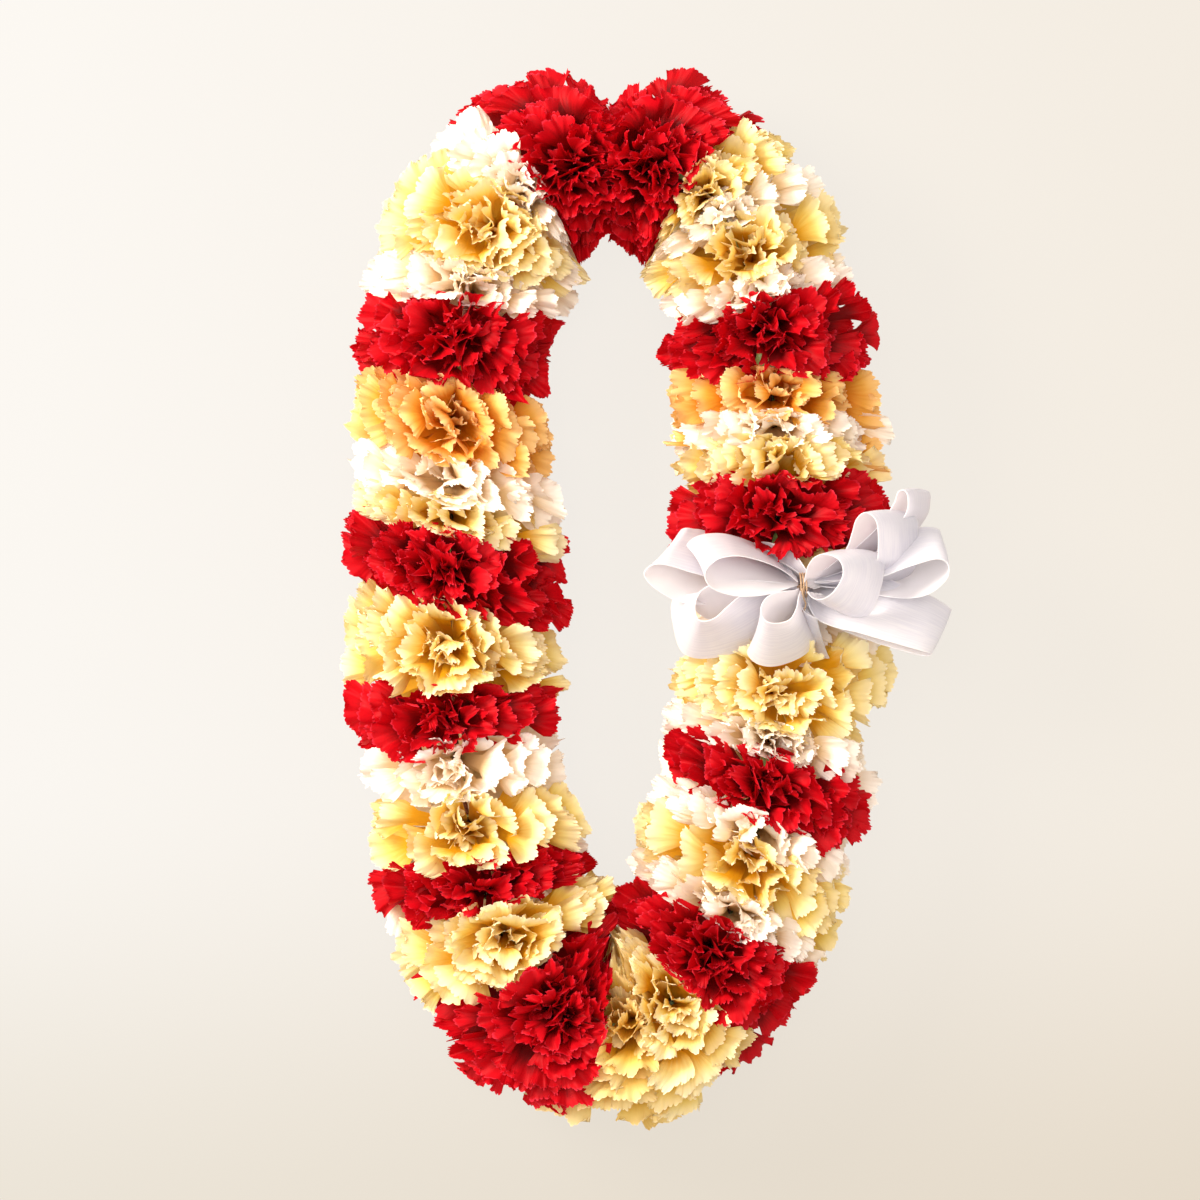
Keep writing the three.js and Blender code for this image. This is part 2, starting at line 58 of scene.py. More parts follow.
# %% Camera straight above the lei
STRING_HEIGHT = 47.0
VIEW_WIDTH = 582.0
LOOP_CENTRE = np.array([-14.903, 0.952])
VIEW_CENTRE = LOOP_CENTRE + (-5.8, -1.55)
LENS = 100.0
SENSOR = 36.0

camera_data = bpy.data.cameras.new("camera")
camera_data.lens = LENS
camera_data.sensor_width = SENSOR
camera = bpy.data.objects.new("camera", camera_data)
camera_distance = VIEW_WIDTH * LENS / SENSOR
camera.location = (
    VIEW_CENTRE[0] * MM,
    VIEW_CENTRE[1] * MM,
    (STRING_HEIGHT + camera_distance) * MM,
)
bpy.context.scene.collection.objects.link(camera)
bpy.context.scene.camera = camera
bpy.context.scene.view_settings.view_transform = "Standard"
PHOTO_CENTRE = 600.0
MM_PER_PIXEL = VIEW_WIDTH / (2 * PHOTO_CENTRE)


def at_pixel(x, y, height):
    """The points in mm that the camera sees at these pixels of the photograph, at these heights."""
    nearer = (STRING_HEIGHT + camera_distance - height) / camera_distance
    scale = MM_PER_PIXEL * nearer
    return np.stack(
        [VIEW_CENTRE[0] + (x - PHOTO_CENTRE) * scale, VIEW_CENTRE[1] - (y - PHOTO_CENTRE) * scale, height],
        axis=-1,
    )


print("camera is", round(camera_distance), "mm above the string")

# %% [markdown]
# ## The loop that the heads are threaded on
#
# The string runs in a long oval. A superellipse draws it: an ellipse whose exponent makes it
# squarer, more so at the top than at the bottom. Everything is then placed by three numbers that
# a lei maker would use: how far along the string, how far outwards from it, and how high above it.

# %% The oval and the three-number placing
LOOP_HALF_WIDTH = 79.0
LOOP_HALF_LENGTH = 206.0
TOP_ROUNDNESS = 3.2
BOTTOM_ROUNDNESS = 2.2
LOOP_SAMPLES = 8000
STRAND_RADIUS = 49.0
TANGENT_STEP = 3.0


def power(value, exponent):
    """A power that keeps the sign of the value."""
    return np.sign(value) * np.abs(value) ** exponent


loop_angle = np.pi / 2 + np.linspace(0, 2 * np.pi, LOOP_SAMPLES + 1)
loop_exponent = np.where(np.sin(loop_angle) > 0, 2 / TOP_ROUNDNESS, 2 / BOTTOM_ROUNDNESS)
loop_points = np.stack(
    [
        LOOP_HALF_WIDTH * power(np.cos(loop_angle), loop_exponent),
        LOOP_HALF_LENGTH * power(np.sin(loop_angle), loop_exponent),
    ],
    axis=-1,
)
loop_lengths = np.concatenate([[0], np.cumsum(np.linalg.norm(np.diff(loop_points, axis=0), axis=1))])
LOOP_LENGTH = loop_lengths[-1]


def on_loop(along):
    """The points of the oval at these lengths along it."""
    wrapped = np.mod(along, LOOP_LENGTH)
    return np.stack([np.interp(wrapped, loop_lengths, loop_points[:, k]) for k in (0, 1)], axis=-1)


def outward(along):
    """The directions out of the oval at these lengths along it."""
    run = on_loop(along + TANGENT_STEP) - on_loop(along - TANGENT_STEP)
    run = run / np.linalg.norm(run, axis=-1, keepdims=True)
    return np.stack([run[..., 1], -run[..., 0]], axis=-1)


print("string loop:", round(LOOP_LENGTH), "mm")

# %% [markdown]
# Petals on the inside of the oval have less room at its ends, where they would meet those from
# round the bend, so there they are kept shorter. At the top of the loop the first and the last head
# turn away from each other, which leaves a notch, and by the bow the petals reach out further. The
# heads also stand a little askew on the string, as in the photograph, so a table gives their slant
# at a few places and it changes evenly between.

# %% How far petals reach, and the slant of the heads
MIDLINE_SHARE = 0.98
CLOSED_END = -135.0
CLOSED_SHARE = 1.15
BEND_SHARE = 0.96
BEND_STEP = 6.0
NEAR_MIDLINE = 2.0
ALMOST_ZERO = 1e-6
REACH_SAMPLES = 1501
# Length along the string, reach out of the loop and reach into it
REACHES = [
    (0, 35, 34), (8, 43, 38), (18, 49, 42), (45, 52, 49), (75, 53, 50), (105, 52, 50),
    (132, 52, 44), (160, 52, 50), (190, 51, 51), (215, 51, 56), (248, 48, 55), (285, 52, 55),
    (330, 51, 52), (350, 51, 51), (390, 56, 58), (415, 57, 58), (440, 52, 58), (540, 51, 58),
    (590, 52, 58), (640, 57, 51), (671, 55, 57), (690, 57, 51), (795, 57, 51), (820, 52, 51),
    (850, 52, 50), (868, 51, 45), (885, 52, 50),
    (LOOP_LENGTH - 45, 51, 49), (LOOP_LENGTH - 18, 48, 42), (LOOP_LENGTH - 8, 43, 38),
    (LOOP_LENGTH, 35, 34),
]
# Length along the string, and how far a petal moves along it for each mm that it lies outwards
SLANTS = [
    (0, 0.0), (42, 0.1), (109, 0.03), (154, -0.14), (194, -0.18), (237, -0.28), (268, -0.3),
    (304, 0.04), (330, 0.0), (380, -0.17), (408, -0.04), (490, -0.12), (546, -0.02), (576, -0.14),
    (612, -0.25), (652, -0.19), (705, 0.0), (780, 0.0), (834, -0.12), (865, 0.05), (920, -0.1),
    (1000, 0.0),
]


def inner_reach(along):
    """The room inwards: to the loop's midline, and to the petals from round the bend."""
    normal = outward(along)
    cosine = np.sum(outward(along + BEND_STEP) * outward(along - BEND_STEP), axis=-1)
    turn = np.arccos(np.clip(cosine, -1, 1))
    bend_radius = np.where(turn > ALMOST_ZERO, 2 * BEND_STEP / np.maximum(turn, ALMOST_ZERO), np.inf)
    x, y = np.abs(on_loop(along)[..., 0]), on_loop(along)[..., 1]
    aside = np.maximum(np.abs(normal[..., 0]), 1e-3)
    midline = np.where(x < NEAR_MIDLINE, np.inf, x / aside)
    # Below the hole the petals of both sides mesh with one another
    share = np.where(y < CLOSED_END, CLOSED_SHARE, MIDLINE_SHARE)
    return np.minimum(share * midline, BEND_SHARE * bend_radius)


reach_stations = np.linspace(0, LOOP_LENGTH, REACH_SAMPLES)
reach_at, reach_out, reach_in = np.array(REACHES).T
outer_table = np.interp(reach_stations, reach_at, reach_out)
inner_table = np.minimum(np.interp(reach_stations, reach_at, reach_in), inner_reach(reach_stations))


def place(along, out, height):
    """Points in millimetres from lengths along the string, distances outwards and heights above."""
    stations, shifts = zip(*SLANTS)
    along = along + np.interp(np.mod(along, LOOP_LENGTH), stations, shifts) * out
    wrapped = np.mod(along, LOOP_LENGTH)
    inside = np.interp(wrapped, reach_stations, inner_table)
    outside = np.interp(wrapped, reach_stations, outer_table)
    reach = np.where(out < 0, inside, outside)
    flat = on_loop(along) + outward(along) * (out * reach / STRAND_RADIUS)[..., None] + LOOP_CENTRE
    return np.concatenate([flat, (STRING_HEIGHT + height)[..., None]], axis=-1)


def widening(along, out):
    """How much wider the strand is round a bend at this distance from the string."""
    ends = [place(along + step, out, np.zeros_like(out)) for step in (-TANGENT_STEP, TANGENT_STEP)]
    return np.linalg.norm(ends[1] - ends[0], axis=-1) / (2 * TANGENT_STEP)


print("reach out of the loop", outer_table.min(), "to", outer_table.max(), "mm")
print("reach into the loop", round(inner_table.min(), 1), "to", round(inner_table.max(), 1), "mm")

# %% [markdown]
# ## Heads of the two rows
#
# Each head is squeezed between its neighbours, so its length along the string is what is seen of
# it. The lengths follow the bands of colour in the photograph, anticlockwise from the top. The
# photograph doesn't show the back row. Its heads share the loop evenly.

# %% Colours and lengths of the heads
FRONT_HEADS = [
    ("red", 40), ("white", 15), ("yellow", 39), ("white", 17), ("red", 38), ("golden", 38),
    ("white", 19), ("yellow", 16), ("red", 37), ("yellow", 38), ("red", 27), ("white", 27),
    ("yellow", 29), ("red", 24), ("yellow", 36), ("red", 50), ("cream", 20), ("yellow", 30),
    ("red", 34), ("white", 15), ("yellow", 26), ("white", 14), ("red", 30), ("white", 14),
    ("yellow", 33), ("white", 34), ("cream", 17), ("red", 36), ("yellow", 15), ("white", 15),
    ("golden", 20), ("red", 34), ("white", 13), ("yellow", 27), ("white", 14), ("yellow", 17),
    ("red", 40),
]
BACK_HEADS = [
    "red", "white", "red", "golden", "red", "yellow", "white", "white", "red", "cream", "red",
    "yellow", "white", "yellow", "red", "golden", "red", "yellow", "red",
]
BOW_AFTER_HEAD = 26
PRESSED_HEIGHT = 29.0
TIE_ROOM = 1.5
KNOT_ROOM = 2.6
SEAM_OVERLAP = 6.0
BELOW_BOW_OVERLAP = 11.0

heads = []
share = LOOP_LENGTH / sum(length for _, length in FRONT_HEADS)
reached = 0.0
for number, (colour, length) in enumerate(FRONT_HEADS, 1):
    start, reached = reached, reached + length * share
    heads.append({"name": f"front_{number:02d}_{colour}", "colour": colour, "side": 1})
    heads[-1].update(start=start, end=reached, top=STRAND_RADIUS)
for number, colour in enumerate(BACK_HEADS, 1):
    length = LOOP_LENGTH / len(BACK_HEADS)
    heads.append({"name": f"back_{number:02d}_{colour}", "colour": colour, "side": -1})
    heads[-1].update(start=(number - 1) * length, end=number * length, top=STRING_HEIGHT)
first_back = len(FRONT_HEADS)
for first, last in ((0, first_back - 1), (first_back, len(heads) - 1)):
    heads[first]["start"] += KNOT_ROOM
    heads[last]["end"] -= KNOT_ROOM
bow_along = heads[BOW_AFTER_HEAD - 1]["end"]
heads[BOW_AFTER_HEAD - 1].update(end=bow_along - TIE_ROOM, top=PRESSED_HEIGHT)
heads[BOW_AFTER_HEAD].update(start=bow_along + TIE_ROOM, top=PRESSED_HEIGHT)
# Where two heads meet, the larger one laps over the other
for row in (heads[:first_back], heads[first_back:]):
    for head, after in zip(row, row[1:]):
        larger = head["end"] - head["start"] >= after["end"] - after["start"]
        head["laps_end"], after["laps_start"] = larger, not larger
    row[0]["laps_start"] = row[-1]["laps_end"] = False
    row[0]["over_start"] = row[-1]["over_end"] = SEAM_OVERLAP
below_bow, under_bow = heads[BOW_AFTER_HEAD - 2], heads[BOW_AFTER_HEAD - 1]
below_bow.update(laps_end=True, over_end=BELOW_BOW_OVERLAP)
under_bow["laps_start"] = False
print(len(heads), "heads, the bow is tied at", round(bow_along), "mm along the string")

# %% [markdown]
# The string goes straight through every calyx, the green cup under the petals. The calyxes can't
# overlap, so they are pushed apart like beads, and so is the room for the bow's wire.

# %% Places of the calyxes on the string
CALYX_ROOM = 6.5
WIRE_ROOM = 1.2
SPREADING_ROUNDS = 400

for head in heads:
    head["calyx"] = (head["start"] + head["end"]) / 2
order = sorted(heads, key=lambda head: head["calyx"])
fixed = [
    {"calyx": 0.0, "room": CALYX_ROOM},
    {"calyx": bow_along, "room": WIRE_ROOM},
    {"calyx": LOOP_LENGTH, "room": CALYX_ROOM},
]
beads = sorted(fixed + order, key=lambda bead: bead["calyx"])
for _ in range(SPREADING_ROUNDS):
    for low, high in zip(beads, beads[1:]):
        room = low.get("room", CALYX_ROOM) + high.get("room", CALYX_ROOM)
        lack = room - (high["calyx"] - low["calyx"])
        if lack <= 0:
            continue
        if "room" not in low:
            low["calyx"] -= lack if "room" in high else lack / 2
        if "room" not in high:
            high["calyx"] += lack if "room" in low else lack / 2
nearest = min(abs(head["calyx"] - bow_along) for head in heads)
print("nearest calyx to the bow's wire:", round(nearest, 1), "mm")

# %% [markdown]
# ## One petal
#
# A carnation petal is a broad fan on a narrow claw. Its margin is cut into rounded teeth 2 mm wide,
# its sides wave up and down, and it is smooth and soft between. A cloth simulation could ruffle it,
# but a thousand petals need something cheaper. So one flat fan is laid out as a net of points, with
# few at the claw and many at the margin, and each petal bends its own copy of that net.

# %% The net of one fan: rows of points from claw to margin, joined by triangles
# Share of the way from claw to margin, and number of points across
FAN_ROWS = [
    (0.0, 2), (0.16, 3), (0.34, 9), (0.5, 17), (0.66, 25), (0.8, 33), (0.92, 33), (1.0, 65),
]
TOOTH_POINTS = 4


def fan_net(rows):
    """Across and along shares of every point, the points of the margin, and the triangles."""
    across, along, starts = [], [], []
    for share, count in rows:
        starts.append(len(across))
        across += list(np.linspace(-1, 1, count))
        along += [share] * count
    triangles = []
    for (_, low), (_, high), a, b in zip(rows, rows[1:], starts, starts[1:]):
        i = j = 0
        while i < low - 1 or j < high - 1:
            if j == high - 1 or (i < low - 1 and (i + 1) / (low - 1) <= (j + 1) / (high - 1)):
                triangles.append((a + i, a + i + 1, b + j))
                i += 1
            else:
                triangles.append((a + i, b + j + 1, b + j))
                j += 1
    return np.array(across), np.array(along), np.arange(starts[-1], len(across)), np.array(triangles)


fan_across, fan_along, fan_margin, fan_triangles = fan_net(FAN_ROWS)
print("a petal has", len(fan_across), "points and", len(fan_triangles), "triangles")

# %% [markdown]
# The teeth are cut into the last row of the net. Two in every four of its points are the sides of a
# tooth, one is its top and one is the notch beside it. Each tooth gets its own depth, and here and
# there a notch is twice as deep. Two slow waves keep the whole margin from being a plain arc.

# %% The toothed margin
TOOTH_DEPTH = 1.1
TOOTH_DEPTH_SHARES = (0.4, 1.3)
TOOTH_SIDE_SHARE = 0.22
DEEP_NOTCH_SHARE = 0.1
DEEP_NOTCH_DEPTHS = 2.0
LOBES = [(0.035, 7), (0.028, 14)]
CORNER_DROP = 0.08
SAMPLE_BLADE = 20.0


def toothed_margin(blade, draw):
    """How far each point of the margin lies from the claw, as a share of the blade's length."""
    count = len(blade)
    across = fan_across[fan_margin]
    step = np.arange(len(fan_margin)) % TOOTH_POINTS
    teeth = (len(fan_margin) - 1) // TOOTH_POINTS
    depth = TOOTH_DEPTH * draw.uniform(*TOOTH_DEPTH_SHARES, (count, teeth + 1)) / blade[:, None]
    deep = draw.uniform(0, 1, depth.shape) < DEEP_NOTCH_SHARE
    depth = np.where(deep, depth * DEEP_NOTCH_DEPTHS, depth)
    depth = np.repeat(depth, TOOTH_POINTS, axis=1)[:, : len(fan_margin)]
    cut = np.select([step == 0, step == 2], [1.0, 0.0], TOOTH_SIDE_SHARE) * depth
    lobes = 0.0
    for size, number in LOBES:
        lobes = lobes + size * np.sin(draw.uniform(0, 2 * np.pi, (count, 1)) + across * number)
    return 1 - cut + lobes - CORNER_DROP * across**4


sample = SAMPLE_BLADE * toothed_margin(np.array([SAMPLE_BLADE]), np.random.default_rng(0))
print("margin of a", SAMPLE_BLADE, "mm blade:", sample.min().round(1), "to", sample.max().round(1), "mm")

# %% [markdown]
# Each petal grows from the mouth of the calyx to its own place on the outside of the strand. Its
# midrib is a smooth curve between the two: first up, then leaning out. The fan is spread to both
# sides of the midrib, and waves of several lengths lift it out of its plane: long ones all over for
# the ruffles, short ones at the margin alone. Everything is done for all petals of a head at once,
# with arrays, which takes a second for the whole lei where a loop over the petals takes minutes.

# %% Bend the net into all petals of one head
FAN_HALF_ANGLE = math.radians(41)
CLAW_WIDTH = 1.6
CLAW_SHARES = (0.05, 0.8)
BENT_LENGTH = 1.12
PULL_AT_BASE = 0.42
PULL_AT_TIP = 0.36
TWIST = 1.6
CURLS = (-2.5, 3.0)
CURL_RISE = 4
# Height in mm, fewest and most half waves across the petal, and how steeply they grow outwards
PLEATS = (0.3, 3, 8, 1)
RUFFLE_WAVES = (1.15, 0.9, 2.3, 2.2)
CRIMP_WAVES = (1.0, 2.6, 4.8, 3.5)
MARGIN_WAVES = (0.42, 8, 12, 7)


def unit(vectors):
    return vectors / np.maximum(np.linalg.norm(vectors, axis=-1, keepdims=True), 1e-9)


def bezier(p0, p1, p2, p3, t):
    """Points on the curves that four points each give, and the directions along them."""
    t = t[..., None]
    p0, p1, p2, p3 = (p[:, None, :] for p in (p0, p1, p2, p3))
    point = (1 - t) ** 3 * p0 + 3 * (1 - t) ** 2 * t * p1 + 3 * (1 - t) * t**2 * p2 + t**3 * p3
    run = 3 * (1 - t) ** 2 * (p1 - p0) + 6 * (1 - t) * t * (p2 - p1) + 3 * t**2 * (p3 - p2)
    return point, unit(run)


def petals(base, tip, first_run, last_run, side_run, blade, spread, ruffle, crimp, cup, draw):
    """Points of every petal, as an array of petals by net points by 3, in the head's own axes."""
    count = len(base)
    span = np.linalg.norm(tip - base, axis=-1)
    p1 = base + first_run * (span * PULL_AT_BASE)[:, None]
    p2 = tip - last_run * (span * PULL_AT_TIP)[:, None]
    claw = np.clip(1 - blade / (BENT_LENGTH * span), *CLAW_SHARES)[:, None]
    across, along = fan_across[None, :], fan_along[None, :]
    radius = np.repeat(along, count, axis=0)
    radius[:, fan_margin] = toothed_margin(blade, draw)

    angle = across * FAN_HALF_ANGLE * spread[:, None]
    t = np.where(along == 0, 0.0, claw + (1 - claw) * radius * np.cos(angle))
    midrib, run = bezier(base, p1, p2, tip, t)
    side = unit(side_run)[:, None, :]
    side = unit(side - run * np.sum(side * run, axis=-1, keepdims=True))
    face = np.cross(side, run)

    # Sideways: the fan opens from the claw
    sideways = radius * np.sin(angle) * blade[:, None]
    sideways = sideways + across * CLAW_WIDTH * (1 - along)

    # Out of the face: a cup, a twist, soft pleats, ruffles, a crimped margin and a curled tip
    lift = cup[:, None] * across**2 * along
    lift = lift + draw.normal(0, TWIST, (count, 1)) * across * along
    strengths = (1.0, ruffle[:, None], crimp, 1.0)
    kinds = (PLEATS, RUFFLE_WAVES, CRIMP_WAVES, MARGIN_WAVES)
    for strength, (height, fewest, most, rise) in zip(strengths, kinds):
        number = draw.uniform(fewest, most, (count, 1))
        phase = draw.uniform(0, 2 * np.pi, (count, 1))
        wave = np.sin(np.pi * number * across + phase)
        lift = lift + height * strength * wave * along**rise
    lift = lift - draw.uniform(*CURLS, (count, 1)) * along**CURL_RISE
    return midrib + side * sideways[..., None] + face * lift[..., None]


heights = [kind[0] for kind in (PLEATS, RUFFLE_WAVES, CRIMP_WAVES, MARGIN_WAVES)]
print("waves lift a petal by", round(sum(heights), 1), "mm, times each colour's ruffles and crimps")

# %% [markdown]
# ## One head
#
# A head that is pressed between others still opens freely to both sides of the strand and upwards.
# So the tips of its petals are spread over its slice of the strand's round outside. A few narrow
# petals stand up round the eye. Round them the fans lie back and overlap like shingles, and the
# outermost lie out flat. The petals are drawn from a seeded source of chance, so every run gives
# the same heads.

# %% How many petals a head has, and their places on the outside of the strand
# Square millimetres of the strand's outside for each petal, and their share in a narrow head
PETAL_AREA = 130.0
BACK_PETAL_AREA = 200.0
NARROW_AREA_SHARE = 0.55
WIDE_AREA_MORE = 0.45
COVERED_SHARE = 0.9
PAST_SLICE = 2
NARROW_HALF = 7.0
WIDE_HALF = 13.0
# In mm from the eye, and as shares of the slice, for the petals that close the crest of the strand
EYE_PLACES = np.array([[0.5, 0.5], [4.0, -3.5], [-4.5, -2.5], [0.5, 5.5], [5.5, 7.0], [-5.0, 9.0]])
CREST_PLACES = np.array([[0.9, 0], [-0.9, 0.03], [0.85, 0.12], [-0.85, -0.1], [0.8, -0.13], [-0.8, 0.15]])
NARROW_EYE_PLACES = 2
PETAL_SIZES = {"red": 0.92, "golden": 1.08, "yellow": 1.12, "cream": 1.12, "white": 1.08}
WIDEST_TIP = math.radians(100)
FOOTPRINT_ROUNDNESS = 2.8
CANDIDATES = 16
# How far apart petals are wanted: closer at the crest, more so further down the sides
CREST_SPACING = 0.65
SIDE_SPACING = 0.75


def eyed(half):
    """1 in a wide head, whose eye is seen, to 0 in one that is squeezed to a narrow band."""
    return np.clip((half - NARROW_HALF) / (WIDE_HALF - NARROW_HALF), 0, 1)


def tip_places(head, draw):
    """Shares from -1 to 1 along and across a head's slice, spread as evenly as chance allows.

    Each new place is the best of a few tries: the one that lies furthest from all the others."""
    half = (head["end"] - head["start"]) / 2
    arc = 2 * WIDEST_TIP * STRAND_RADIUS
    area = PETAL_AREA if head["side"] > 0 else BACK_PETAL_AREA
    area = area * PETAL_SIZES[head["colour"]] ** 2 * (NARROW_AREA_SHARE + WIDE_AREA_MORE * eyed(half))
    centre = (head["start"] + head["end"]) / 2
    quarters = np.array([-1, -0.5, 0, 0.5, 1]) * STRAND_RADIUS
    wider = np.maximum(1, widening(np.full(5, centre), quarters)).mean()
    count = int(round(2 * (half + PAST_SLICE) * arc * COVERED_SHARE * wider / area))
    size = np.array([half, WIDEST_TIP * STRAND_RADIUS])
    eye_places = EYE_PLACES[: len(EYE_PLACES) if half > WIDE_HALF else NARROW_EYE_PLACES] / size
    places = np.vstack([eye_places, CREST_PLACES])
    closing = range(len(eye_places), len(places))
    while len(places) < count:
        tries = draw.uniform(-1, 1, (CANDIDATES, 2))
        inside = np.sum(np.abs(tries) ** FOOTPRINT_ROUNDNESS, axis=1) < 1
        tries = tries[inside]
        if not len(tries):
            continue
        gaps = (tries[:, None, :] - places[None]) * size
        wanted = CREST_SPACING + SIDE_SPACING * np.abs(tries[:, 1])
        apart = np.linalg.norm(gaps, axis=-1) / wanted[:, None]
        best = np.argmax(apart.min(axis=1))
        places = np.vstack([places, tries[best]])
    return half, places, np.isin(np.arange(len(places)), closing)


half, places, crest = tip_places(heads[0], np.random.default_rng(0))
print(heads[0]["name"], "is", round(2 * half), "mm long and has", len(places), "petals")

# %% [markdown]
# A place on the slice then becomes a point in space. The strand's outside is round, and a petal that
# is drawn further in leaves room for the ones before it. Real heads are far from even. So a third of
# the petals are short and fill the room behind the rest, and a few stray ones stick out.

# %% From places to the petals' tips
TIP_CHANCE = 1.3
EYE_DEPTH = 6
EYE_RADIUS = 8
LAPPING_DROP = 0.03
LAPPED_DROP = 0.13
CREST_LAP = 2.5
FILLING_SHARE = 0.3
MORE_FILLING_AT_SIDES = 0.2
MORE_FILLING_IN_NARROW = 0.15
FILLING_RADII = (0.74, 0.88)
STRAY_SHARE = 0.16
STRAY_REACH_LIMIT = 53.0
STRAY_REACHES = (0.02, 0.09)
USUAL_REACH = (-0.015, 0.045)
SIDES_FROM = 0.6
SIDES_RAMP = 0.25


def outermost(theta):
    """1 for the petals at the sides of the strand, where the two rows meet, to 0 further up."""
    return np.clip((np.abs(theta) / WIDEST_TIP - SIDES_FROM) / SIDES_RAMP, 0, 1)


def petal_tips(head, draw):
    """Where the petals of a head end, in the head's own axes, and which of them are of which kind."""
    half, places, crest = tip_places(head, draw)
    along, theta = places[:, 0], places[:, 1] * WIDEST_TIP
    eye = np.hypot(along * half, theta * STRAND_RADIUS)
    lapping = np.where(along < 0, head["laps_start"], head["laps_end"])
    drop = np.where(lapping, LAPPING_DROP, LAPPED_DROP)
    radius = STRAND_RADIUS * (1 - drop * np.abs(along) ** 3)
    dip = EYE_DEPTH * eyed(half) * np.exp(-((eye / EYE_RADIUS) ** 2))
    radius = radius - dip + draw.normal(0, TIP_CHANCE, len(eye))
    # Some petals are shorter and fill the room behind the others, most of all at the sides of
    # the strand and in narrow heads
    more = MORE_FILLING_AT_SIDES * outermost(theta) + MORE_FILLING_IN_NARROW * (1 - eyed(half))
    filling = (draw.uniform(0, 1, len(eye)) < FILLING_SHARE + more) & ~crest
    radius = np.where(filling, radius * draw.uniform(*FILLING_RADII, len(eye)), radius)
    # A few stray petals stick out further, and are narrow
    stray = draw.uniform(0, 1, len(eye)) < STRAY_SHARE
    centre = (head["start"] + head["end"]) / 2
    stray = stray & (head["side"] > 0)
    stray = stray & (np.interp(centre, reach_stations, outer_table) < STRAY_REACH_LIMIT)
    reach = draw.normal(*USUAL_REACH, len(eye)) + stray * draw.uniform(*STRAY_REACHES, len(eye))
    reach = 1 + reach * np.abs(np.sin(theta))
    over = np.where(along < 0, head.get("over_start", 0), head.get("over_end", 0))
    over = over + CREST_LAP * crest
    tip = [along * (half + 1 + over), radius * np.sin(theta) * reach, radius * np.cos(theta)]
    return half, along, theta, eye, filling, stray, crest, np.stack(tip, axis=-1)


tips = petal_tips(heads[0], np.random.default_rng(0))[-1]
print("its petals end", np.linalg.norm(tips[:, 1:], axis=1).min().round(), "mm or more from the string")

# %% [markdown]
# Between its claw and its tip a petal can stand or lie. At the eye it stands almost upright. Further
# out it lies back, and at the sides of the strand it lies flattest. The angle at which its tip leans
# is given in degrees from upright, with some chance in it, and so are its yaw and its roll.

# %% How the petals of a head lean
CALYX_TOP = 8.7
CLAW_DEPTH = 1.5
MOUTH_RADIUS = 3.2
LEAN_CHANCE = 4.5
LEAST_HALF = 17.0
LAID_REACH = 18
LAID_AT_EYE = 14
LAID_FURTHER_OUT = 48
LAID_AT_SIDES = 22
FILLING_STANDS = 14
FILLING_STANDS_AT_SIDES = 30
LAID_CHANCE = 14
LAID_CHANCE_AT_SIDES = 0.6
LAID_IN_NARROW = 14
TURN_CHANCE = 0.3


def leanings(head, half, along, theta, filling, tip, draw):
    """Where each petal starts, its directions at the claw and the tip, and the one across it."""
    count = len(tip)
    lean = unit(tip[:, :2] + draw.normal(0, LEAN_CHANCE, (count, 2)))
    up = np.array([0.0, 0.0, 1.0])
    flat_lean = np.column_stack([lean, np.zeros(count)])
    side = np.column_stack([-lean[:, 1], lean[:, 0], np.zeros(count)])

    # How open a petal is: 0 stands upright at the eye, 1 lies out flat
    open_across = np.abs(theta) / WIDEST_TIP
    openness = np.clip(np.hypot(open_across, np.abs(along) * 0.5), 0, 1)
    base = lean * (1 + MOUTH_RADIUS * openness)[:, None]
    aside = head["calyx"] - (head["start"] + head["end"]) / 2
    claw_height = np.full(count, CALYX_TOP - CLAW_DEPTH)
    base = np.column_stack([base[:, 0] + aside, base[:, 1], claw_height])
    first_run = unit(up * (1.25 - openness)[:, None] + flat_lean * (0.15 + 0.9 * openness)[:, None])

    from_eye = np.hypot(along * max(half, LEAST_HALF), theta * STRAND_RADIUS)
    laid_back = 1 - np.exp(-((from_eye / LAID_REACH) ** 1.5))
    at_side = outermost(theta)
    laid = LAID_AT_EYE + LAID_FURTHER_OUT * laid_back + LAID_AT_SIDES * open_across
    laid = laid - (FILLING_STANDS + FILLING_STANDS_AT_SIDES * at_side) * filling
    laid = laid + draw.normal(0, LAID_CHANCE, count) * (1 + LAID_CHANCE_AT_SIDES * at_side)
    laid = laid + LAID_IN_NARROW * (1 - eyed(half)) * (1 - laid_back)
    tilt = np.radians(laid)
    last_run = up * np.cos(tilt)[:, None] + flat_lean * np.sin(tilt)[:, None]
    yaw, roll = draw.normal(0, TURN_CHANCE, (2, count, 1))
    return base, first_run, last_run, side + flat_lean * yaw + up * roll, np.abs(lean[:, 1])


print("petals lean", LAID_AT_EYE, "degrees at the eye and", LAID_AT_EYE + LAID_FURTHER_OUT, "further out")

# %% [markdown]
# Carnation petals differ in size and in how much they ruffle. Those round the eye are shorter and
# crumpled, because they opened last. Some are folded along the middle. The red heads of this lei are
# frillier and their petals smaller, and the pale ones are broad and soft, so each colour has its own
# size, ruffles and crimps. Where the strand bends, petals on its inside get narrower to fit.

# %% How large and how ruffled they are
BLADE_LENGTH = 21.5
BLADE_CHANCE = 1.8
SHORTER_AT_EYE = 4
CRUMPLED_RADIUS = 14
FOLDED_SHARE = 0.2
FOLDED_AT_EYE = 0.3
FOLDED_STRAYS = 0.5
FOLDED_WIDTH = 0.72
FOLDED_CUPS = (5, 9)
CUPS = (-3.5, 5.0)
CUPPED_AT_SIDES = 0.5
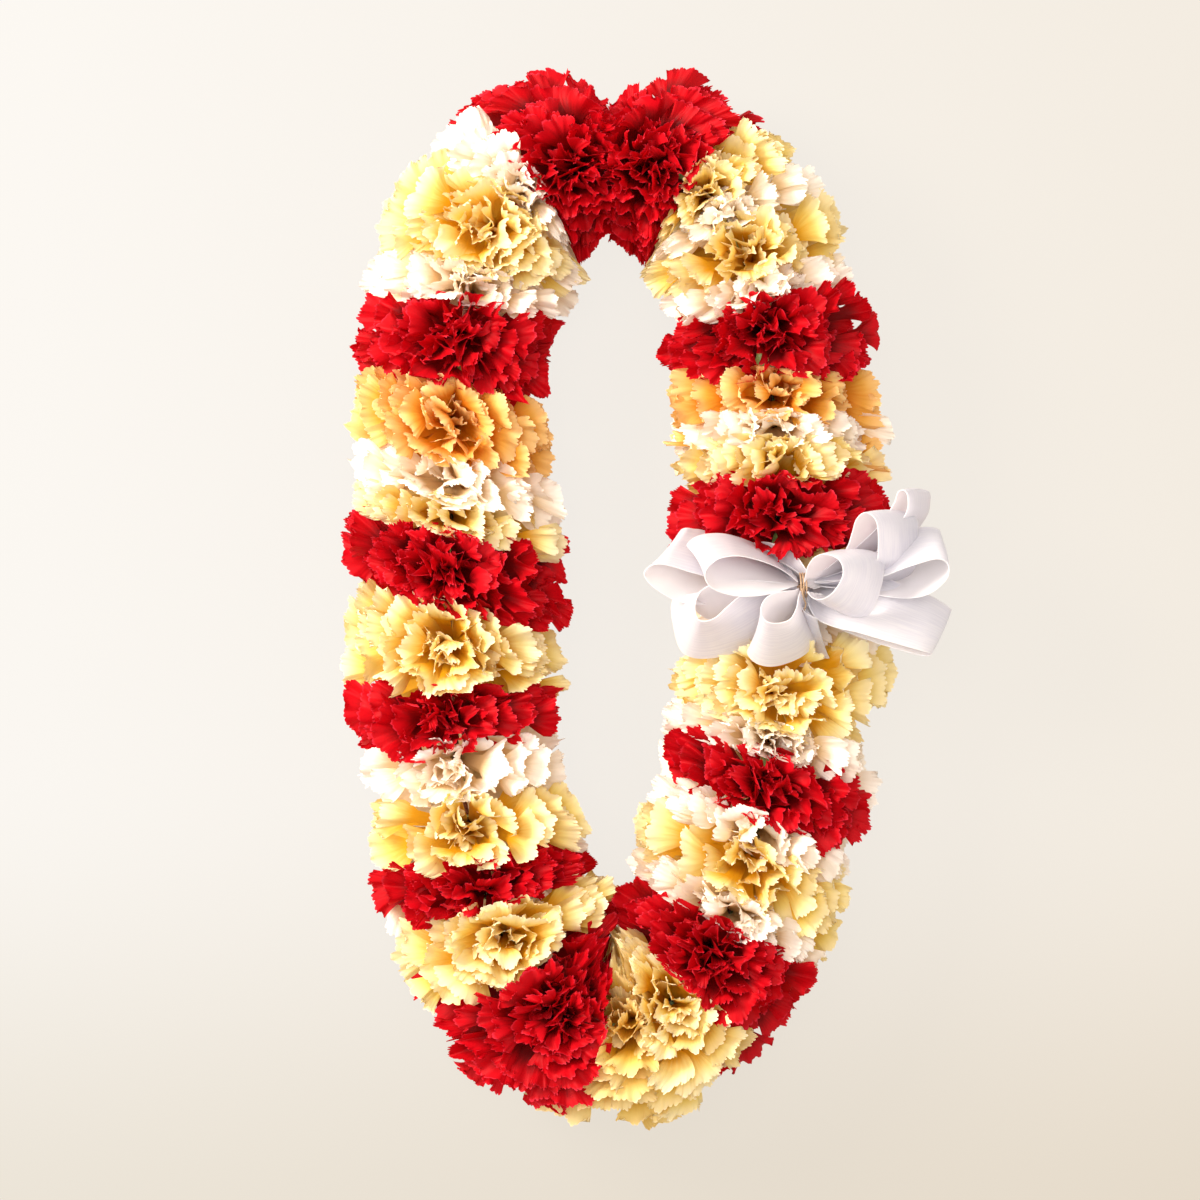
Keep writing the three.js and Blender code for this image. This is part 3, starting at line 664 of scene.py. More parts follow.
# A petal spreads fully where half its head and ROOM_PAST_SLICE make FULL_ROOM, in mm, or more
FULL_ROOM = 15
ROOM_PAST_SLICE = 6
LEAST_ROOM = 0.45
SPREAD_CHANCES = (-0.12, 0.08)
NARROWER_AT_EYE = 0.25
RUFFLE_HEIGHT = 1.6
RUFFLE_CHANCES = (-0.6, 1.2)
RUFFLES = {"red": 1.4, "golden": 0.9, "yellow": 0.9, "cream": 0.9, "white": 0.95}
CRIMPS = {"red": 1.35, "golden": 0.7, "yellow": 0.7, "cream": 0.7, "white": 0.6}


def head_petals(head, draw):
    """Points of all petals of a head, in its own axes: along the string, out of the loop and up."""
    half, along, theta, eye, filling, stray, crest, tip = petal_tips(head, draw)
    count = len(tip)
    base, first_run, last_run, side_run, facing_out = leanings(
        head, half, along, theta, filling, tip, draw
    )
    near_eye = np.exp(-((eye / CRUMPLED_RADIUS) ** 2)) * (0.25 + 0.75 * eyed(half))
    chance = FOLDED_SHARE + FOLDED_AT_EYE * near_eye + FOLDED_STRAYS * stray
    folded = (draw.uniform(0, 1, count) < chance) & ~crest
    blade = BLADE_LENGTH - SHORTER_AT_EYE * near_eye + draw.normal(0, BLADE_CHANCE, count)
    blade = blade * PETAL_SIZES[head["colour"]]
    room = np.clip((half + ROOM_PAST_SLICE) / FULL_ROOM, LEAST_ROOM, 1)
    spread = 1 - (1 - room) * facing_out - NARROWER_AT_EYE * near_eye
    spread = spread + draw.uniform(*SPREAD_CHANCES, count)
    spread = spread * np.where(folded, FOLDED_WIDTH, 1.0)
    wider = widening(np.full(count, (head["start"] + head["end"]) / 2), tip[:, 1])
    spread = spread / (1 + np.maximum(0, wider - 1) * facing_out)
    ruffle = RUFFLE_HEIGHT + near_eye + draw.uniform(*RUFFLE_CHANCES, count)
    ruffle = ruffle * RUFFLES[head["colour"]]
    cup = draw.uniform(*CUPS, count) * (1 + CUPPED_AT_SIDES * outermost(theta))
    cup = np.where(folded, np.sign(cup) * draw.uniform(*FOLDED_CUPS, count), cup)
    crimp = CRIMPS[head["colour"]]
    points = petals(base, tip, first_run, last_run, side_run, blade, spread, ruffle, crimp, cup, draw)
    return pressed(head, half, points, draw)


sizes = sorted(BLADE_LENGTH * size for size in PETAL_SIZES.values())
print("blades are about", round(sizes[0]), "to", round(sizes[-1]), "mm long")

# %% [markdown]
# Where two heads are pressed together their petals bend. Those of the larger head lap over its
# neighbour and are turned up, those of the smaller one are turned down under it. A cloth or a soft
# body simulation would find such bends, for a thousand petals at a great price. Here each point
# that would lie past the border is moved back and up, or back and down, by a share of its excess.

# %% Bend petals up or down where they meet the next head
BORDER_CHANCE = 1.3
LAPPING_LENGTH = 3.0
LAPPED_LENGTH = 1.0
BEND_SLOPE = 0.5
LONGEST_BEND = 9
THROUGH_SHARE = 0.28
FREE_RADIUS = 15.0
PROUD = 3
LOOSE_RADIUS = 51.0
LOOSE_SHARE = 0.5
LOWEST_FOLD = 11.0
TABLE_GAP = 0.4
FLATTENING = 4


def pressed(head, half, points, draw):
    """The petals' points, bent where they would lie past the border of the head."""
    x, y, z = np.moveaxis(points, -1, 0)
    wobble = draw.normal(0, BORDER_CHANCE, (len(points), 1))
    laps = np.where(x < 0, head["laps_start"], head["laps_end"])
    over = np.where(x < 0, head.get("over_start", 0), head.get("over_end", 0))
    limit = half + np.where(laps, LAPPING_LENGTH, LAPPED_LENGTH) + over + wobble
    excess = np.maximum(0, np.abs(x) - limit)
    x = np.where(excess > 0, np.sign(x) * (limit + THROUGH_SHARE * excess), x)
    radius = np.hypot(y, z)
    bend = np.where(laps, 1.0, -1.0) * BEND_SLOPE * np.minimum(excess, LONGEST_BEND)
    bent = np.clip(radius + bend, FREE_RADIUS, STRAND_RADIUS + PROUD)
    bends = (radius > FREE_RADIUS) & (excess > 0)
    scale = np.where(bends, bent / np.maximum(radius, ALMOST_ZERO), 1.0)
    scale = np.where(radius * scale > np.maximum(radius, STRAND_RADIUS + PROUD), 1.0, scale)
    # What sticks out of the strand is drawn in by half
    out = radius * scale
    drawn_in = np.minimum(out, LOOSE_RADIUS) + LOOSE_SHARE * np.maximum(out - LOOSE_RADIUS, 0)
    scale = scale * drawn_in / np.maximum(out, ALMOST_ZERO)
    return np.stack([x, y * scale, z * scale], axis=-1)


def shaped(head, points):
    """Head axes to the lei: pressed heads are flatter, back heads are turned over."""
    height = points[..., 2]
    rise = (head["top"] - LOWEST_FOLD) / (STRAND_RADIUS - LOWEST_FOLD)
    height = np.where(height > LOWEST_FOLD, LOWEST_FOLD + (height - LOWEST_FOLD) * rise, height)
    height = head["side"] * height
    # Petals that would reach through the table lie flat on it instead
    floor = TABLE_GAP - STRING_HEIGHT
    sunk = height - floor - FLATTENING
    height = np.where(sunk < 0, floor + FLATTENING * np.exp(sunk / FLATTENING), height)
    centre = (head["start"] + head["end"]) / 2
    return place(centre + points[..., 0], points[..., 1], height)


sample = shaped(heads[0], head_petals(heads[0], np.random.default_rng(0)))
print(heads[0]["name"], "rises to", sample[..., 2].max().round(), "mm above the table")

# %% [markdown]
# ## From points to a mesh
#
# A mesh can be built face by face, or handed over as whole arrays. Arrays are far faster for this
# many triangles. Each point also carries three numbers, a mark, that tells the material where on the
# petal, cord or ribbon it lies. So the patterns follow the piece however it is bent.

# %% Build one mesh from points in millimetres
def net_mesh(name, points, triangles, mark_name, marks):
    """A smooth mesh. marks, three numbers for each point, is stored on it as mark_name."""
    mesh = bpy.data.meshes.new(name)
    mesh.vertices.add(len(points))
    mesh.vertices.foreach_set("co", (points * MM).ravel())
    mesh.loops.add(triangles.size)
    mesh.loops.foreach_set("vertex_index", triangles.ravel())
    mesh.polygons.add(len(triangles))
    mesh.polygons.foreach_set("loop_start", np.arange(0, triangles.size, 3))
    mesh.polygons.foreach_set("loop_total", np.full(len(triangles), 3))
    mesh.polygons.foreach_set("use_smooth", np.ones(len(triangles), bool))
    stored = mesh.attributes.new(mark_name, "FLOAT_VECTOR", "POINT")
    stored.data.foreach_set("vector", marks.ravel())
    mesh.update(calc_edges=True)
    mesh.validate()
    return mesh


def add_piece(name, mesh, material, nodes):
    """Puts a mesh into the scene in place of CAD nodes."""
    piece = bpy.data.objects.new(name, mesh)
    bpy.context.scene.collection.objects.link(piece)
    piece.data.materials.append(material)
    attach(piece, "root")
    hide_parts(*nodes)
    return piece


print("meshes so far, all of them solids:", len(bpy.data.meshes))

# %% [markdown]
# ## Colours
#
# Colours are noted as sRGB hex values, the way a colour picker shows them. Blender's shaders want
# linear light, so one function turns them. Another adds a node to a material with its settings and
# links in one call.

# %% Colour and node helpers
def linear(hex_colour):
    """A shader's colour from an sRGB hex value."""
    parts = [int(hex_colour[i : i + 2], 16) / 255 for i in (0, 2, 4)]
    turned = [x / 12.92 if x <= 0.04045 else ((x + 0.055) / 1.055) ** 2.4 for x in parts]
    return (*turned, 1.0)


def add_node(material, kind, links=(), inputs=(), **settings):
    """Adds a node. links maps its inputs to outputs of earlier nodes, inputs sets plain values."""
    node = material.node_tree.nodes.new(kind)
    for key, value in settings.items():
        setattr(node, key, value)
    for key, value in dict(inputs).items():
        node.inputs[key].default_value = value
    for key, value in dict(links).items():
        material.node_tree.links.new(value, node.inputs[key])
    return node


def new_material(name):
    """A material without any nodes."""
    material = bpy.data.materials.new(name)
    material.use_nodes = True
    material.node_tree.nodes.clear()
    return material


print("middle grey in linear light:", [round(part, 3) for part in linear("808080")[:3]])

# %% [markdown]
# ## Fresh carnation petal
#
# A petal is a thin, soft leaf with a fine matt bloom on its face. Light comes through it, so petals glow
# at their thin margins. The colour gets deeper and warmer towards the claw, where petals stand behind one
# another: partly the petal's own colour, mostly painted shade. The margin is paler, partly its own colour
# and partly a painted highlight, and its very edge is a painted highlight line. Fine veins run out from
# the claw, 1.6 mm apart at the margin. The three marks on each point are how far it lies across the fan,
# how far along it, and a chance number for the petal. A subsurface shader could carry the light through,
# but for a leaf half a millimetre thick a translucent one does the same at a fraction of the time.

# %% Fresh carnation petal
PETAL_WIDTH = 29.0
VEIN_SPACING = 1.6
# How much the veins change along the petal, and how far apart two petals read the noise
VEIN_CHANGE = 1.3
PETAL_APART = 40.0
VEIN_RELIEF_M = 0.0006
THROUGH_SHARE_OF_LIGHT = 0.3


def petal_material(name, shades, through_colour, pale_share):
    """shades: colours at the claw, mostly painted shade, the blade, the margin, partly painted highlight,
    and of the blade of a paler petal.
    """
    # deep is the claw's colour: partly its own, mostly painted shade of the crevices between petals
    deep, blade, margin, pale = (linear(shade) for shade in shades)
    material = new_material(name)
    petal = add_node(material, "ShaderNodeAttribute", attribute_name="petal")
    parts = add_node(material, "ShaderNodeSeparateXYZ", {0: petal.outputs["Vector"]})
    vein_place = add_node(
        material,
        "ShaderNodeVectorMath",
        {0: petal.outputs["Vector"]},
        {1: (PETAL_WIDTH / 2 / VEIN_SPACING, VEIN_CHANGE, PETAL_APART)},
        operation="MULTIPLY",
    )
    veins = add_node(
        material,
        "ShaderNodeTexNoise",
        {"Vector": vein_place.outputs[0]},
        {"Scale": 1.0, "Detail": 2.0, "Roughness": 0.55},
    )
    vein_bump = add_node(
        material,
        "ShaderNodeBump",
        {"Height": veins.outputs["Fac"]},
        {"Strength": 0.5, "Distance": VEIN_RELIEF_M},
    )
    body = add_node(
        material,
        "ShaderNodeMix",
        {0: parts.outputs["Z"]},
        {6: blade, 7: pale},
        data_type="RGBA",
    )
    # Veins reach the claw's deeper colour, mostly painted shade, further out than the flesh between them
    along_vein = add_node(
        material,
        "ShaderNodeMath",
        {0: veins.outputs["Fac"], 2: parts.outputs["Y"]},
        {1: -0.35},
        operation="MULTIPLY_ADD",
    )
    # Painted shade: the colour deepens towards the claw, where the petals stand behind one another
    into_claw_painted_shade = add_node(
        material,
        "ShaderNodeMapRange",
        {0: along_vein.outputs[0]},
        {"From Min": 0.62, "From Max": 0.04},
        interpolation_type="SMOOTHSTEP",
    )
    with_claw_painted_shade = add_node(
        material,
        "ShaderNodeMix",
        {0: into_claw_painted_shade.outputs[0], 6: body.outputs[2]},
        {7: deep},
        data_type="RGBA",
    )
    # Towards the margin the petal is paler, partly its own thinner margin and partly painted highlight,
    # and its very edge is a painted highlight line
    paler = add_node(
        material,
        "ShaderNodeMapRange",
        {0: parts.outputs["Y"]},
        {"From Min": 0.6, "From Max": 1.0, "To Max": pale_share},
        interpolation_type="SMOOTHSTEP",
    )
    # Painted highlight: a pale line along the very edge of the petal
    painted_edge_highlight = add_node(
        material,
        "ShaderNodeMapRange",
        {0: parts.outputs["Y"]},
        {"From Min": 0.955, "From Max": 0.99, "To Max": 0.8},
    )
    into_margin_and_highlight = add_node(
        material,
        "ShaderNodeMath",
        {0: paler.outputs[0], 1: painted_edge_highlight.outputs[0]},
        operation="MAXIMUM",
    )
    coloured = add_node(
        material,
        "ShaderNodeMix",
        {0: into_margin_and_highlight.outputs[0], 6: with_claw_painted_shade.outputs[2]},
        {7: margin},
        data_type="RGBA",
    )
    shader = add_node(
        material,
        "ShaderNodeBsdfPrincipled",
        {"Base Color": coloured.outputs[2], "Normal": vein_bump.outputs[0]},
        {"Roughness": 0.6, "IOR": 1.42, "Specular IOR Level": 0.25},
    )
    through = add_node(
        material,
        "ShaderNodeBsdfTranslucent",
        inputs={"Color": linear(through_colour)},
    )
    mix = add_node(
        material,
        "ShaderNodeMixShader",
        {1: shader.outputs[0], 2: through.outputs[0]},
        {0: THROUGH_SHARE_OF_LIGHT},
    )
    add_node(material, "ShaderNodeOutputMaterial", {"Surface": mix.outputs[0]})
    return material


# Colours at the claw, mostly painted shade, the blade, the margin, partly painted highlight, and of a
# paler petal, of the light that comes through, and how much of the margin's colour there is short of its
# very edge
PETAL_COLOURS = {
    "red": (("4E0003", "B6000E", "DC3048", "C80014"), "DE0008", 0.04),
    "golden": (("D07A0C", "E8AE40", "FFE8B8", "F2C870"), "F4A630", 0.45),
    "yellow": (("E0A214", "EFD76C", "FFFBE8", "F6E8A0"), "F4CE5E", 0.53),
    "cream": (("DCA424", "EBD06C", "FFF1CA", "F0DC94"), "F0C04E", 0.4),
    "white": (("E6C894", "FFF8EE", "FFFFFF", "FDF3E6"), "FFECCC", 0.5),
}
petal_materials = {
    colour: petal_material(f"carnation_petal_{colour}", *values)
    for colour, values in PETAL_COLOURS.items()
}
print("petal materials:", ", ".join(petal_materials))

# %% [markdown]
# ## All petals
#
# Now every head of both rows gets its petals, as one mesh for each head. A head's own number seeds
# its chance, so a change to one head leaves the others as they are. Separate meshes also keep the
# heads apart for whoever wants to recolour or leave out one of them.

# %% All petals
FIRST_SEED = 100
total = 0
for index, head in enumerate(heads):
    draw = np.random.default_rng(FIRST_SEED + index)
    points = head_petals(head, draw)
    count, net = points.shape[:2]
    marks = np.zeros((count, net, 3))
    marks[..., 0] = fan_across
    marks[..., 1] = fan_along
    marks[..., 2] = draw.uniform(0, 1, (count, 1))
    triangles = (fan_triangles[None] + (np.arange(count) * net)[:, None, None]).reshape(-1, 3)
    flat = shaped(head, points).reshape(-1, 3)
    name = head["name"] + "_petals"
    mesh = net_mesh(name, flat, triangles, "petal", marks.reshape(-1, 3))
    colour = head["colour"]
    add_piece(name, mesh, petal_materials[colour], [head["name"]])
    total += len(triangles)
print("petal triangles:", total)

# %% [markdown]
# ## Calyxes
#
# Under every head is its calyx, a waxy grey-green cup whose rim ends in five short points. The
# string goes through it sideways. It is a ring of points swept up from its foot, where the stem was
# cut off, to the rim, which is drawn out into the points and opened a little by the petals.

# %% Shape of a calyx
CALYX_SIDES = 30
CALYX_POINTS = 5
CALYX_ANGULAR = 0.03
POINT_LENGTH = 1.6
# Height above the string, radius, and how much of the five points is seen there
CALYX_RINGS = [
    (-6.2, 0.0, 0), (-6.2, 3.6, 0), (-5.4, 4.3, 0), (-2, 5.0, 0), (2, 5.4, 0), (5, 5.5, 0),
    (7.5, 5.0, 0.1), (8.6, 4.6, 0.4), (9.6, 4.6, 1),
]


def calyx_points(head):
    """Rings of points from the foot of a head's calyx to its rim."""
    angle = np.linspace(0, 2 * np.pi, CALYX_SIDES, endpoint=False)
    lobe = np.cos(CALYX_POINTS * angle)
    rings = []
    for height, radius, pointed in CALYX_RINGS:
        radius = radius * (1 + CALYX_ANGULAR * lobe)
        x = head["calyx"] + radius * np.cos(angle)
        z = head["side"] * (height + POINT_LENGTH * pointed * lobe)
        rings.append(place(x, radius * np.sin(angle), z))
    return np.array(rings)


def ring_triangles(rings, sides, closed=False):
    """Triangles between rings of points that follow one another."""
    index = np.arange(rings * sides).reshape(rings, sides)
    low = index if closed else index[:-1]
    high = np.roll(index, -1, axis=0) if closed else index[1:]
    a, b, c, d = low, np.roll(low, -1, axis=1), np.roll(high, -1, axis=1), high
    corners = np.stack([a, b, c, a, c, d], axis=-1)
    return corners.reshape(-1, 3)


sample = calyx_points(heads[0])
print("a calyx has", sample.shape[0] * sample.shape[1], "points and spans", end=" ")
print(np.ptp(sample.reshape(-1, 3), axis=0).round(1), "mm")

# %% [markdown]
# ## Carnation calyx
#
# The calyx is a firm leaf with a coat of wax, which gives it a greyed green and a soft gloss. Its
# rim is paler where it is thin. Only glimpses of it show between the petals, so a gentle mottle of
# two greens and the pale rim are enough, and a bump would be lost.

# %% Carnation calyx, waxy green
calyx_green = new_material("carnation_calyx_waxy_green")
calyx_mark = add_node(calyx_green, "ShaderNodeAttribute", attribute_name="calyx")
calyx_parts = add_node(calyx_green, "ShaderNodeSeparateXYZ", {0: calyx_mark.outputs["Vector"]})
calyx_veins = add_node(
    calyx_green,
    "ShaderNodeTexNoise",
    {"Vector": calyx_mark.outputs["Vector"]},
    {"Scale": 6.0, "Detail": 2.0},
)
veined_green = add_node(
    calyx_green,
    "ShaderNodeMix",
    {0: calyx_veins.outputs["Fac"]},
    {6: linear("6F8F4A"), 7: linear("9DB56E")},
    data_type="RGBA",
)
calyx_colour = add_node(
    calyx_green,
    "ShaderNodeMix",
    {0: calyx_parts.outputs["Z"], 6: veined_green.outputs[2]},
    {7: linear("CBD59A")},
    data_type="RGBA",
)
calyx_shader = add_node(
    calyx_green,
    "ShaderNodeBsdfPrincipled",
    {"Base Color": calyx_colour.outputs[2]},
    {"Roughness": 0.42, "IOR": 1.45},
)
add_node(calyx_green, "ShaderNodeOutputMaterial", {"Surface": calyx_shader.outputs[0]})

MOTTLE_TURN = 3
calyx_angle = np.linspace(0, 2 * np.pi, CALYX_SIDES, endpoint=False)
calyx_rise = np.linspace(0, 1, len(CALYX_RINGS))
calyx_marks = np.zeros((len(CALYX_RINGS), CALYX_SIDES, 3))
# The first two go round a circle, so that the mottle has no seam, and the third is high at the rim
calyx_marks[..., 0] = np.cos(calyx_angle) * MOTTLE_TURN
calyx_marks[..., 1] = np.sin(calyx_angle) * MOTTLE_TURN
calyx_marks[..., 2] = (calyx_rise**2)[:, None]
for head in heads:
    rings = calyx_points(head)
    triangles = ring_triangles(*rings.shape[:2])
    name = head["name"] + "_calyx"
    points = rings.reshape(-1, 3)
    mesh = net_mesh(name, points, triangles, "calyx", calyx_marks.reshape(-1, 3))
    add_piece(name, mesh, calyx_green, [head["name"]])
print("calyx triangles:", len(heads) * len(triangles))

# %% [markdown]
# ## String
#
# The string is a three-ply twisted cotton cord, stained red-brown by the flowers. Each ply is a
# ridge that winds round the cord once every 9 mm, so the section is a circle with three soft bumps
# that turns as it goes. The two ends are tied in an overhand knot, which is a curve that goes
# twice round and passes through itself, and the tails hang into the loop.

# %% Cord along a path
STRING_RADIUS = 1.2
CORD_SIDES = 12
CORD_STEP = 1.6
PLIES = 3
PLY_TURN = 9.0
PLY_RIDGE = 0.1


def cord(path, radius, step, closed=False):
    """Points, triangles and marks of a twisted cord along a path of points in mm."""
    if closed:
        path = np.vstack([path, path[:1]])
    lengths = np.concatenate([[0], np.cumsum(np.linalg.norm(np.diff(path, axis=0), axis=1))])
    count = max(4, int(lengths[-1] / step))
    at = np.linspace(0, lengths[-1], count, endpoint=not closed)
    line = np.stack([np.interp(at, lengths, path[:, k]) for k in range(3)], axis=-1)
    if closed:
        run = unit(np.roll(line, -1, axis=0) - np.roll(line, 1, axis=0))
    else:
        run = unit(np.gradient(line, axis=0))
    sideways = unit(np.cross(run, np.array([0.05, 0.03, 1.0])))
    upright = np.cross(sideways, run)
    angle = np.linspace(0, 2 * np.pi, CORD_SIDES, endpoint=False)[None]
    turns = 2 * np.pi * at[:, None] / PLY_TURN
    if closed:
        turns = turns * np.round(lengths[-1] / PLY_TURN) * PLY_TURN / lengths[-1]
    ridge = radius * (1 - PLY_RIDGE + PLY_RIDGE * np.cos(PLIES * (angle - turns)))
    points = line[:, None] + sideways[:, None] * (ridge * np.cos(angle))[..., None]
    points = points + upright[:, None] * (ridge * np.sin(angle))[..., None]
    marks = np.zeros(points.shape)
    marks[..., 0] = np.cos(PLIES * (angle - turns))
    marks[..., 1] = at[:, None]
    marks[..., 2] = np.sin(angle)
    triangles = ring_triangles(count, CORD_SIDES, closed)
    return points.reshape(-1, 3), triangles, marks.reshape(-1, 3)


def joined(parts):
    """Several (points, triangles, marks) as one."""
    starts = np.cumsum([0] + [len(points) for points, _, _ in parts[:-1]])
    points = np.concatenate([part[0] for part in parts])
    triangles = np.concatenate([part[1] + start for part, start in zip(parts, starts)])
    return points, triangles, np.concatenate([part[2] for part in parts])


print("one turn of the plies is drawn with", round(PLY_TURN / CORD_STEP, 1), "rings of", CORD_SIDES)

# %% [markdown]
# The string bends at the gaps between calyxes and runs straight through each. Its path is therefore
# the line through the middles of those gaps. The last gap, at the top of the loop, has the knot.

# %% The string, its knot and its tails
KNOT_SIZE = 0.95
KNOT_CORD_RADIUS = 0.95
KNOT_STEP = 0.7
KNOT_SAMPLES = 60
TAIL_RADIUS = 0.85
TAIL_STEP = 1.0
STRING_TAILS = [
    [(0, 0, 0), (-1.5, -7, 2), (0.5, -15, 2.5), (-0.8, -21, 3), (-0.8, -27, 3)],
    [(0, 0, 0), (1.8, -6, -1), (1, -13, -2), (1.6, -18, -2.5), (0.8, -23, -3)],
]

calyxes = np.array([head["calyx"] for head in order])
bends = (calyxes + np.append(calyxes[1:], calyxes[0] + LOOP_LENGTH)) / 2
bend_points = place(bends, np.zeros(len(bends)), np.zeros(len(bends)))
knot_point = bend_points[-1]
knot_turn = np.linspace(0, 2 * np.pi, KNOT_SAMPLES, endpoint=False)
knot_path = KNOT_SIZE * np.stack(
    [
        np.sin(knot_turn) + 2 * np.sin(2 * knot_turn),
        0.8 * (np.cos(knot_turn) - 2 * np.cos(2 * knot_turn)),
        -1.2 * np.sin(3 * knot_turn),
    ],
    axis=-1,
)
string_parts = [
    cord(bend_points, STRING_RADIUS, CORD_STEP, closed=True),
    cord(knot_path + knot_point, KNOT_CORD_RADIUS, KNOT_STEP, closed=True),
]
for tail in STRING_TAILS:
    string_parts.append(cord(np.array(tail) + knot_point, TAIL_RADIUS, TAIL_STEP))
points, triangles, marks = joined(string_parts)
string_mesh = net_mesh("string_cord", points, triangles, "cord", marks)
print("string triangles:", len(triangles))

# %% [markdown]
# ## Stained cotton
#
# Cotton thread is matt and slightly fuzzy, so it has no gloss and a little sheen. Sap and red petals have
# stained this one. The grooves between the plies are darker, a painted shade, which the first mark finds:
# it is 1 on a ridge and -1 in a groove. A fine bump stands for the fibres.

# %% Twisted cotton, stained
FIBRE_RELIEF_M = 0.0002

cotton = new_material("twisted_cotton_stained")
cord_mark = add_node(cotton, "ShaderNodeAttribute", attribute_name="cord")
cord_parts = add_node(cotton, "ShaderNodeSeparateXYZ", {0: cord_mark.outputs["Vector"]})
groove_painted_shade = add_node(
    cotton,
    "ShaderNodeMapRange",
    {0: cord_parts.outputs["X"]},
    {"From Min": -1.0, "From Max": 0.6},
)
fibres = add_node(
    cotton,
    "ShaderNodeTexNoise",
    {"Vector": cord_mark.outputs["Vector"]},
    {"Scale": 5.0, "Detail": 3.0},
)
fibre_bump = add_node(
    cotton,
    "ShaderNodeBump",
    {"Height": fibres.outputs["Fac"]},
    {"Strength": 0.5, "Distance": FIBRE_RELIEF_M},
)
# Painted shade: near black in the grooves, the red-brown stain on the ridges
cotton_colour = add_node(
    cotton,
    "ShaderNodeMix",
    {0: groove_painted_shade.outputs[0]},
    {6: linear("3A140E"), 7: linear("8A4A36")},
    data_type="RGBA",
)
cotton_shader = add_node(
    cotton,
    "ShaderNodeBsdfPrincipled",
    {"Base Color": cotton_colour.outputs[2], "Normal": fibre_bump.outputs[0]},
    {"Roughness": 0.9, "IOR": 1.5, "Sheen Weight": 0.3},
)
add_node(cotton, "ShaderNodeOutputMaterial", {"Surface": cotton_shader.outputs[0]})
add_piece("string_cord", string_mesh, cotton, ["string"])
print("string in", cotton.name)

# %% [markdown]
# ## Wire that ties the bow on
#
# A florist's wire, wound with brown paper, goes once round the string and up to the bow. It holds
# the ribbon's gathered middle with two and a half turns, and a short end sticks out below them. The
# same function that laid the string lays the wire, because a paper winding has ridges too.

# %% Wire
BOW_FROM_STRAND = 9.5
BOW_KNOT_HEIGHT = 97.0
WIRE_RADIUS = 0.7
THIN_WIRE_RADIUS = 0.42
WIRE_STEP = 0.8
WIRE_TURNS = 2.5
TURN_SAMPLES = 90
TURN_HALF = (1.6, 5.5, 7.0)
KNOT_PIXEL = (803.0, 585.0)
KNOT_TOP = 99.0
# Distances out from the string, and heights
WIRE_CORNERS = [
    (-2.4, STRING_HEIGHT - 2.6), (2.4, STRING_HEIGHT - 2.6), (4.2, STRING_HEIGHT + 4),
    (BOW_FROM_STRAND + 8.4, BOW_KNOT_HEIGHT - 6.5), (BOW_FROM_STRAND + 7.4, BOW_KNOT_HEIGHT - 2.2),
    (BOW_FROM_STRAND - 7.4, BOW_KNOT_HEIGHT - 2.2), (BOW_FROM_STRAND - 8.4, BOW_KNOT_HEIGHT - 6.5),
    (-4.2, STRING_HEIGHT + 4),
]
WIRE_END = [(802, 588, 108), (803, 596, 107), (806, 604, 105), (804, 611, 104), (799, 611, 104)]


def beside_bow(out, height):
    """A point in mm at this distance out from the string, where the bow is tied."""
    flat = on_loop(np.array(bow_along)) + outward(np.array(bow_along)) * out + LOOP_CENTRE
    return np.array([*flat, height])


wire_loop = np.array([beside_bow(out, height) for out, height in WIRE_CORNERS])
turn = np.linspace(0, 2 * np.pi * WIRE_TURNS, TURN_SAMPLES)
knot_centre = at_pixel(*np.array([*KNOT_PIXEL, KNOT_TOP]))
wire_turns = knot_centre + np.stack(
    [
        TURN_HALF[0] * np.linspace(-1, 1, len(turn)),
        TURN_HALF[1] * np.cos(turn),
        TURN_HALF[2] * np.sin(turn),
    ],
    axis=-1,
)
wire_end = at_pixel(*np.array(WIRE_END, float).T)
points, triangles, marks = joined(
    [
        cord(wire_loop, WIRE_RADIUS, WIRE_STEP, closed=True),
        cord(wire_turns, THIN_WIRE_RADIUS, WIRE_STEP),
        cord(wire_end, THIN_WIRE_RADIUS, WIRE_STEP),
    ]
)
wire_mesh = net_mesh("bow_wire_wound", points, triangles, "wire", marks)
print("wire triangles:", len(triangles))

# %% [markdown]
# ## Brown paper round the wire
#
# Crepe paper is matt and uneven in colour. The noise follows the marks, so its streaks run round the
# wire as the paper does.

# %% Florist's wire in brown paper
paper_wire = new_material("florist_wire_brown_paper")
wire_mark = add_node(paper_wire, "ShaderNodeAttribute", attribute_name="wire")
paper_fibres = add_node(
    paper_wire,
    "ShaderNodeTexNoise",
    {"Vector": wire_mark.outputs["Vector"]},
    {"Scale": 3.0, "Detail": 2.0},
)
paper_colour = add_node(
    paper_wire,
    "ShaderNodeMix",
    {0: paper_fibres.outputs["Fac"]},
    {6: linear("8E6A4C"), 7: linear("C9AC8C")},
    data_type="RGBA",
)
wire_shader = add_node(
    paper_wire,
    "ShaderNodeBsdfPrincipled",
    {"Base Color": paper_colour.outputs[2]},
    {"Roughness": 0.7, "IOR": 1.5},
)
add_node(paper_wire, "ShaderNodeOutputMaterial", {"Surface": wire_shader.outputs[0]})
add_piece("bow_wire_wound", wire_mesh, paper_wire, ["bow_wire"])
print("wire in", paper_wire.name)

# %% [markdown]
# ## Satin bow
#
# The bow is one ribbon, 36 mm wide, gathered in its middle and pulled into loops by a wire. Each
# loop is drawn as the photograph shows it: the edge that is nearest to the camera, and how far the
# other edge is shifted from it in the picture. How much deeper the other edge lies follows from the
# ribbon's real width, so no loop is wider or narrower than the ribbon. Between the drawn points a
# smooth curve is run, as a springy satin ribbon would lie.

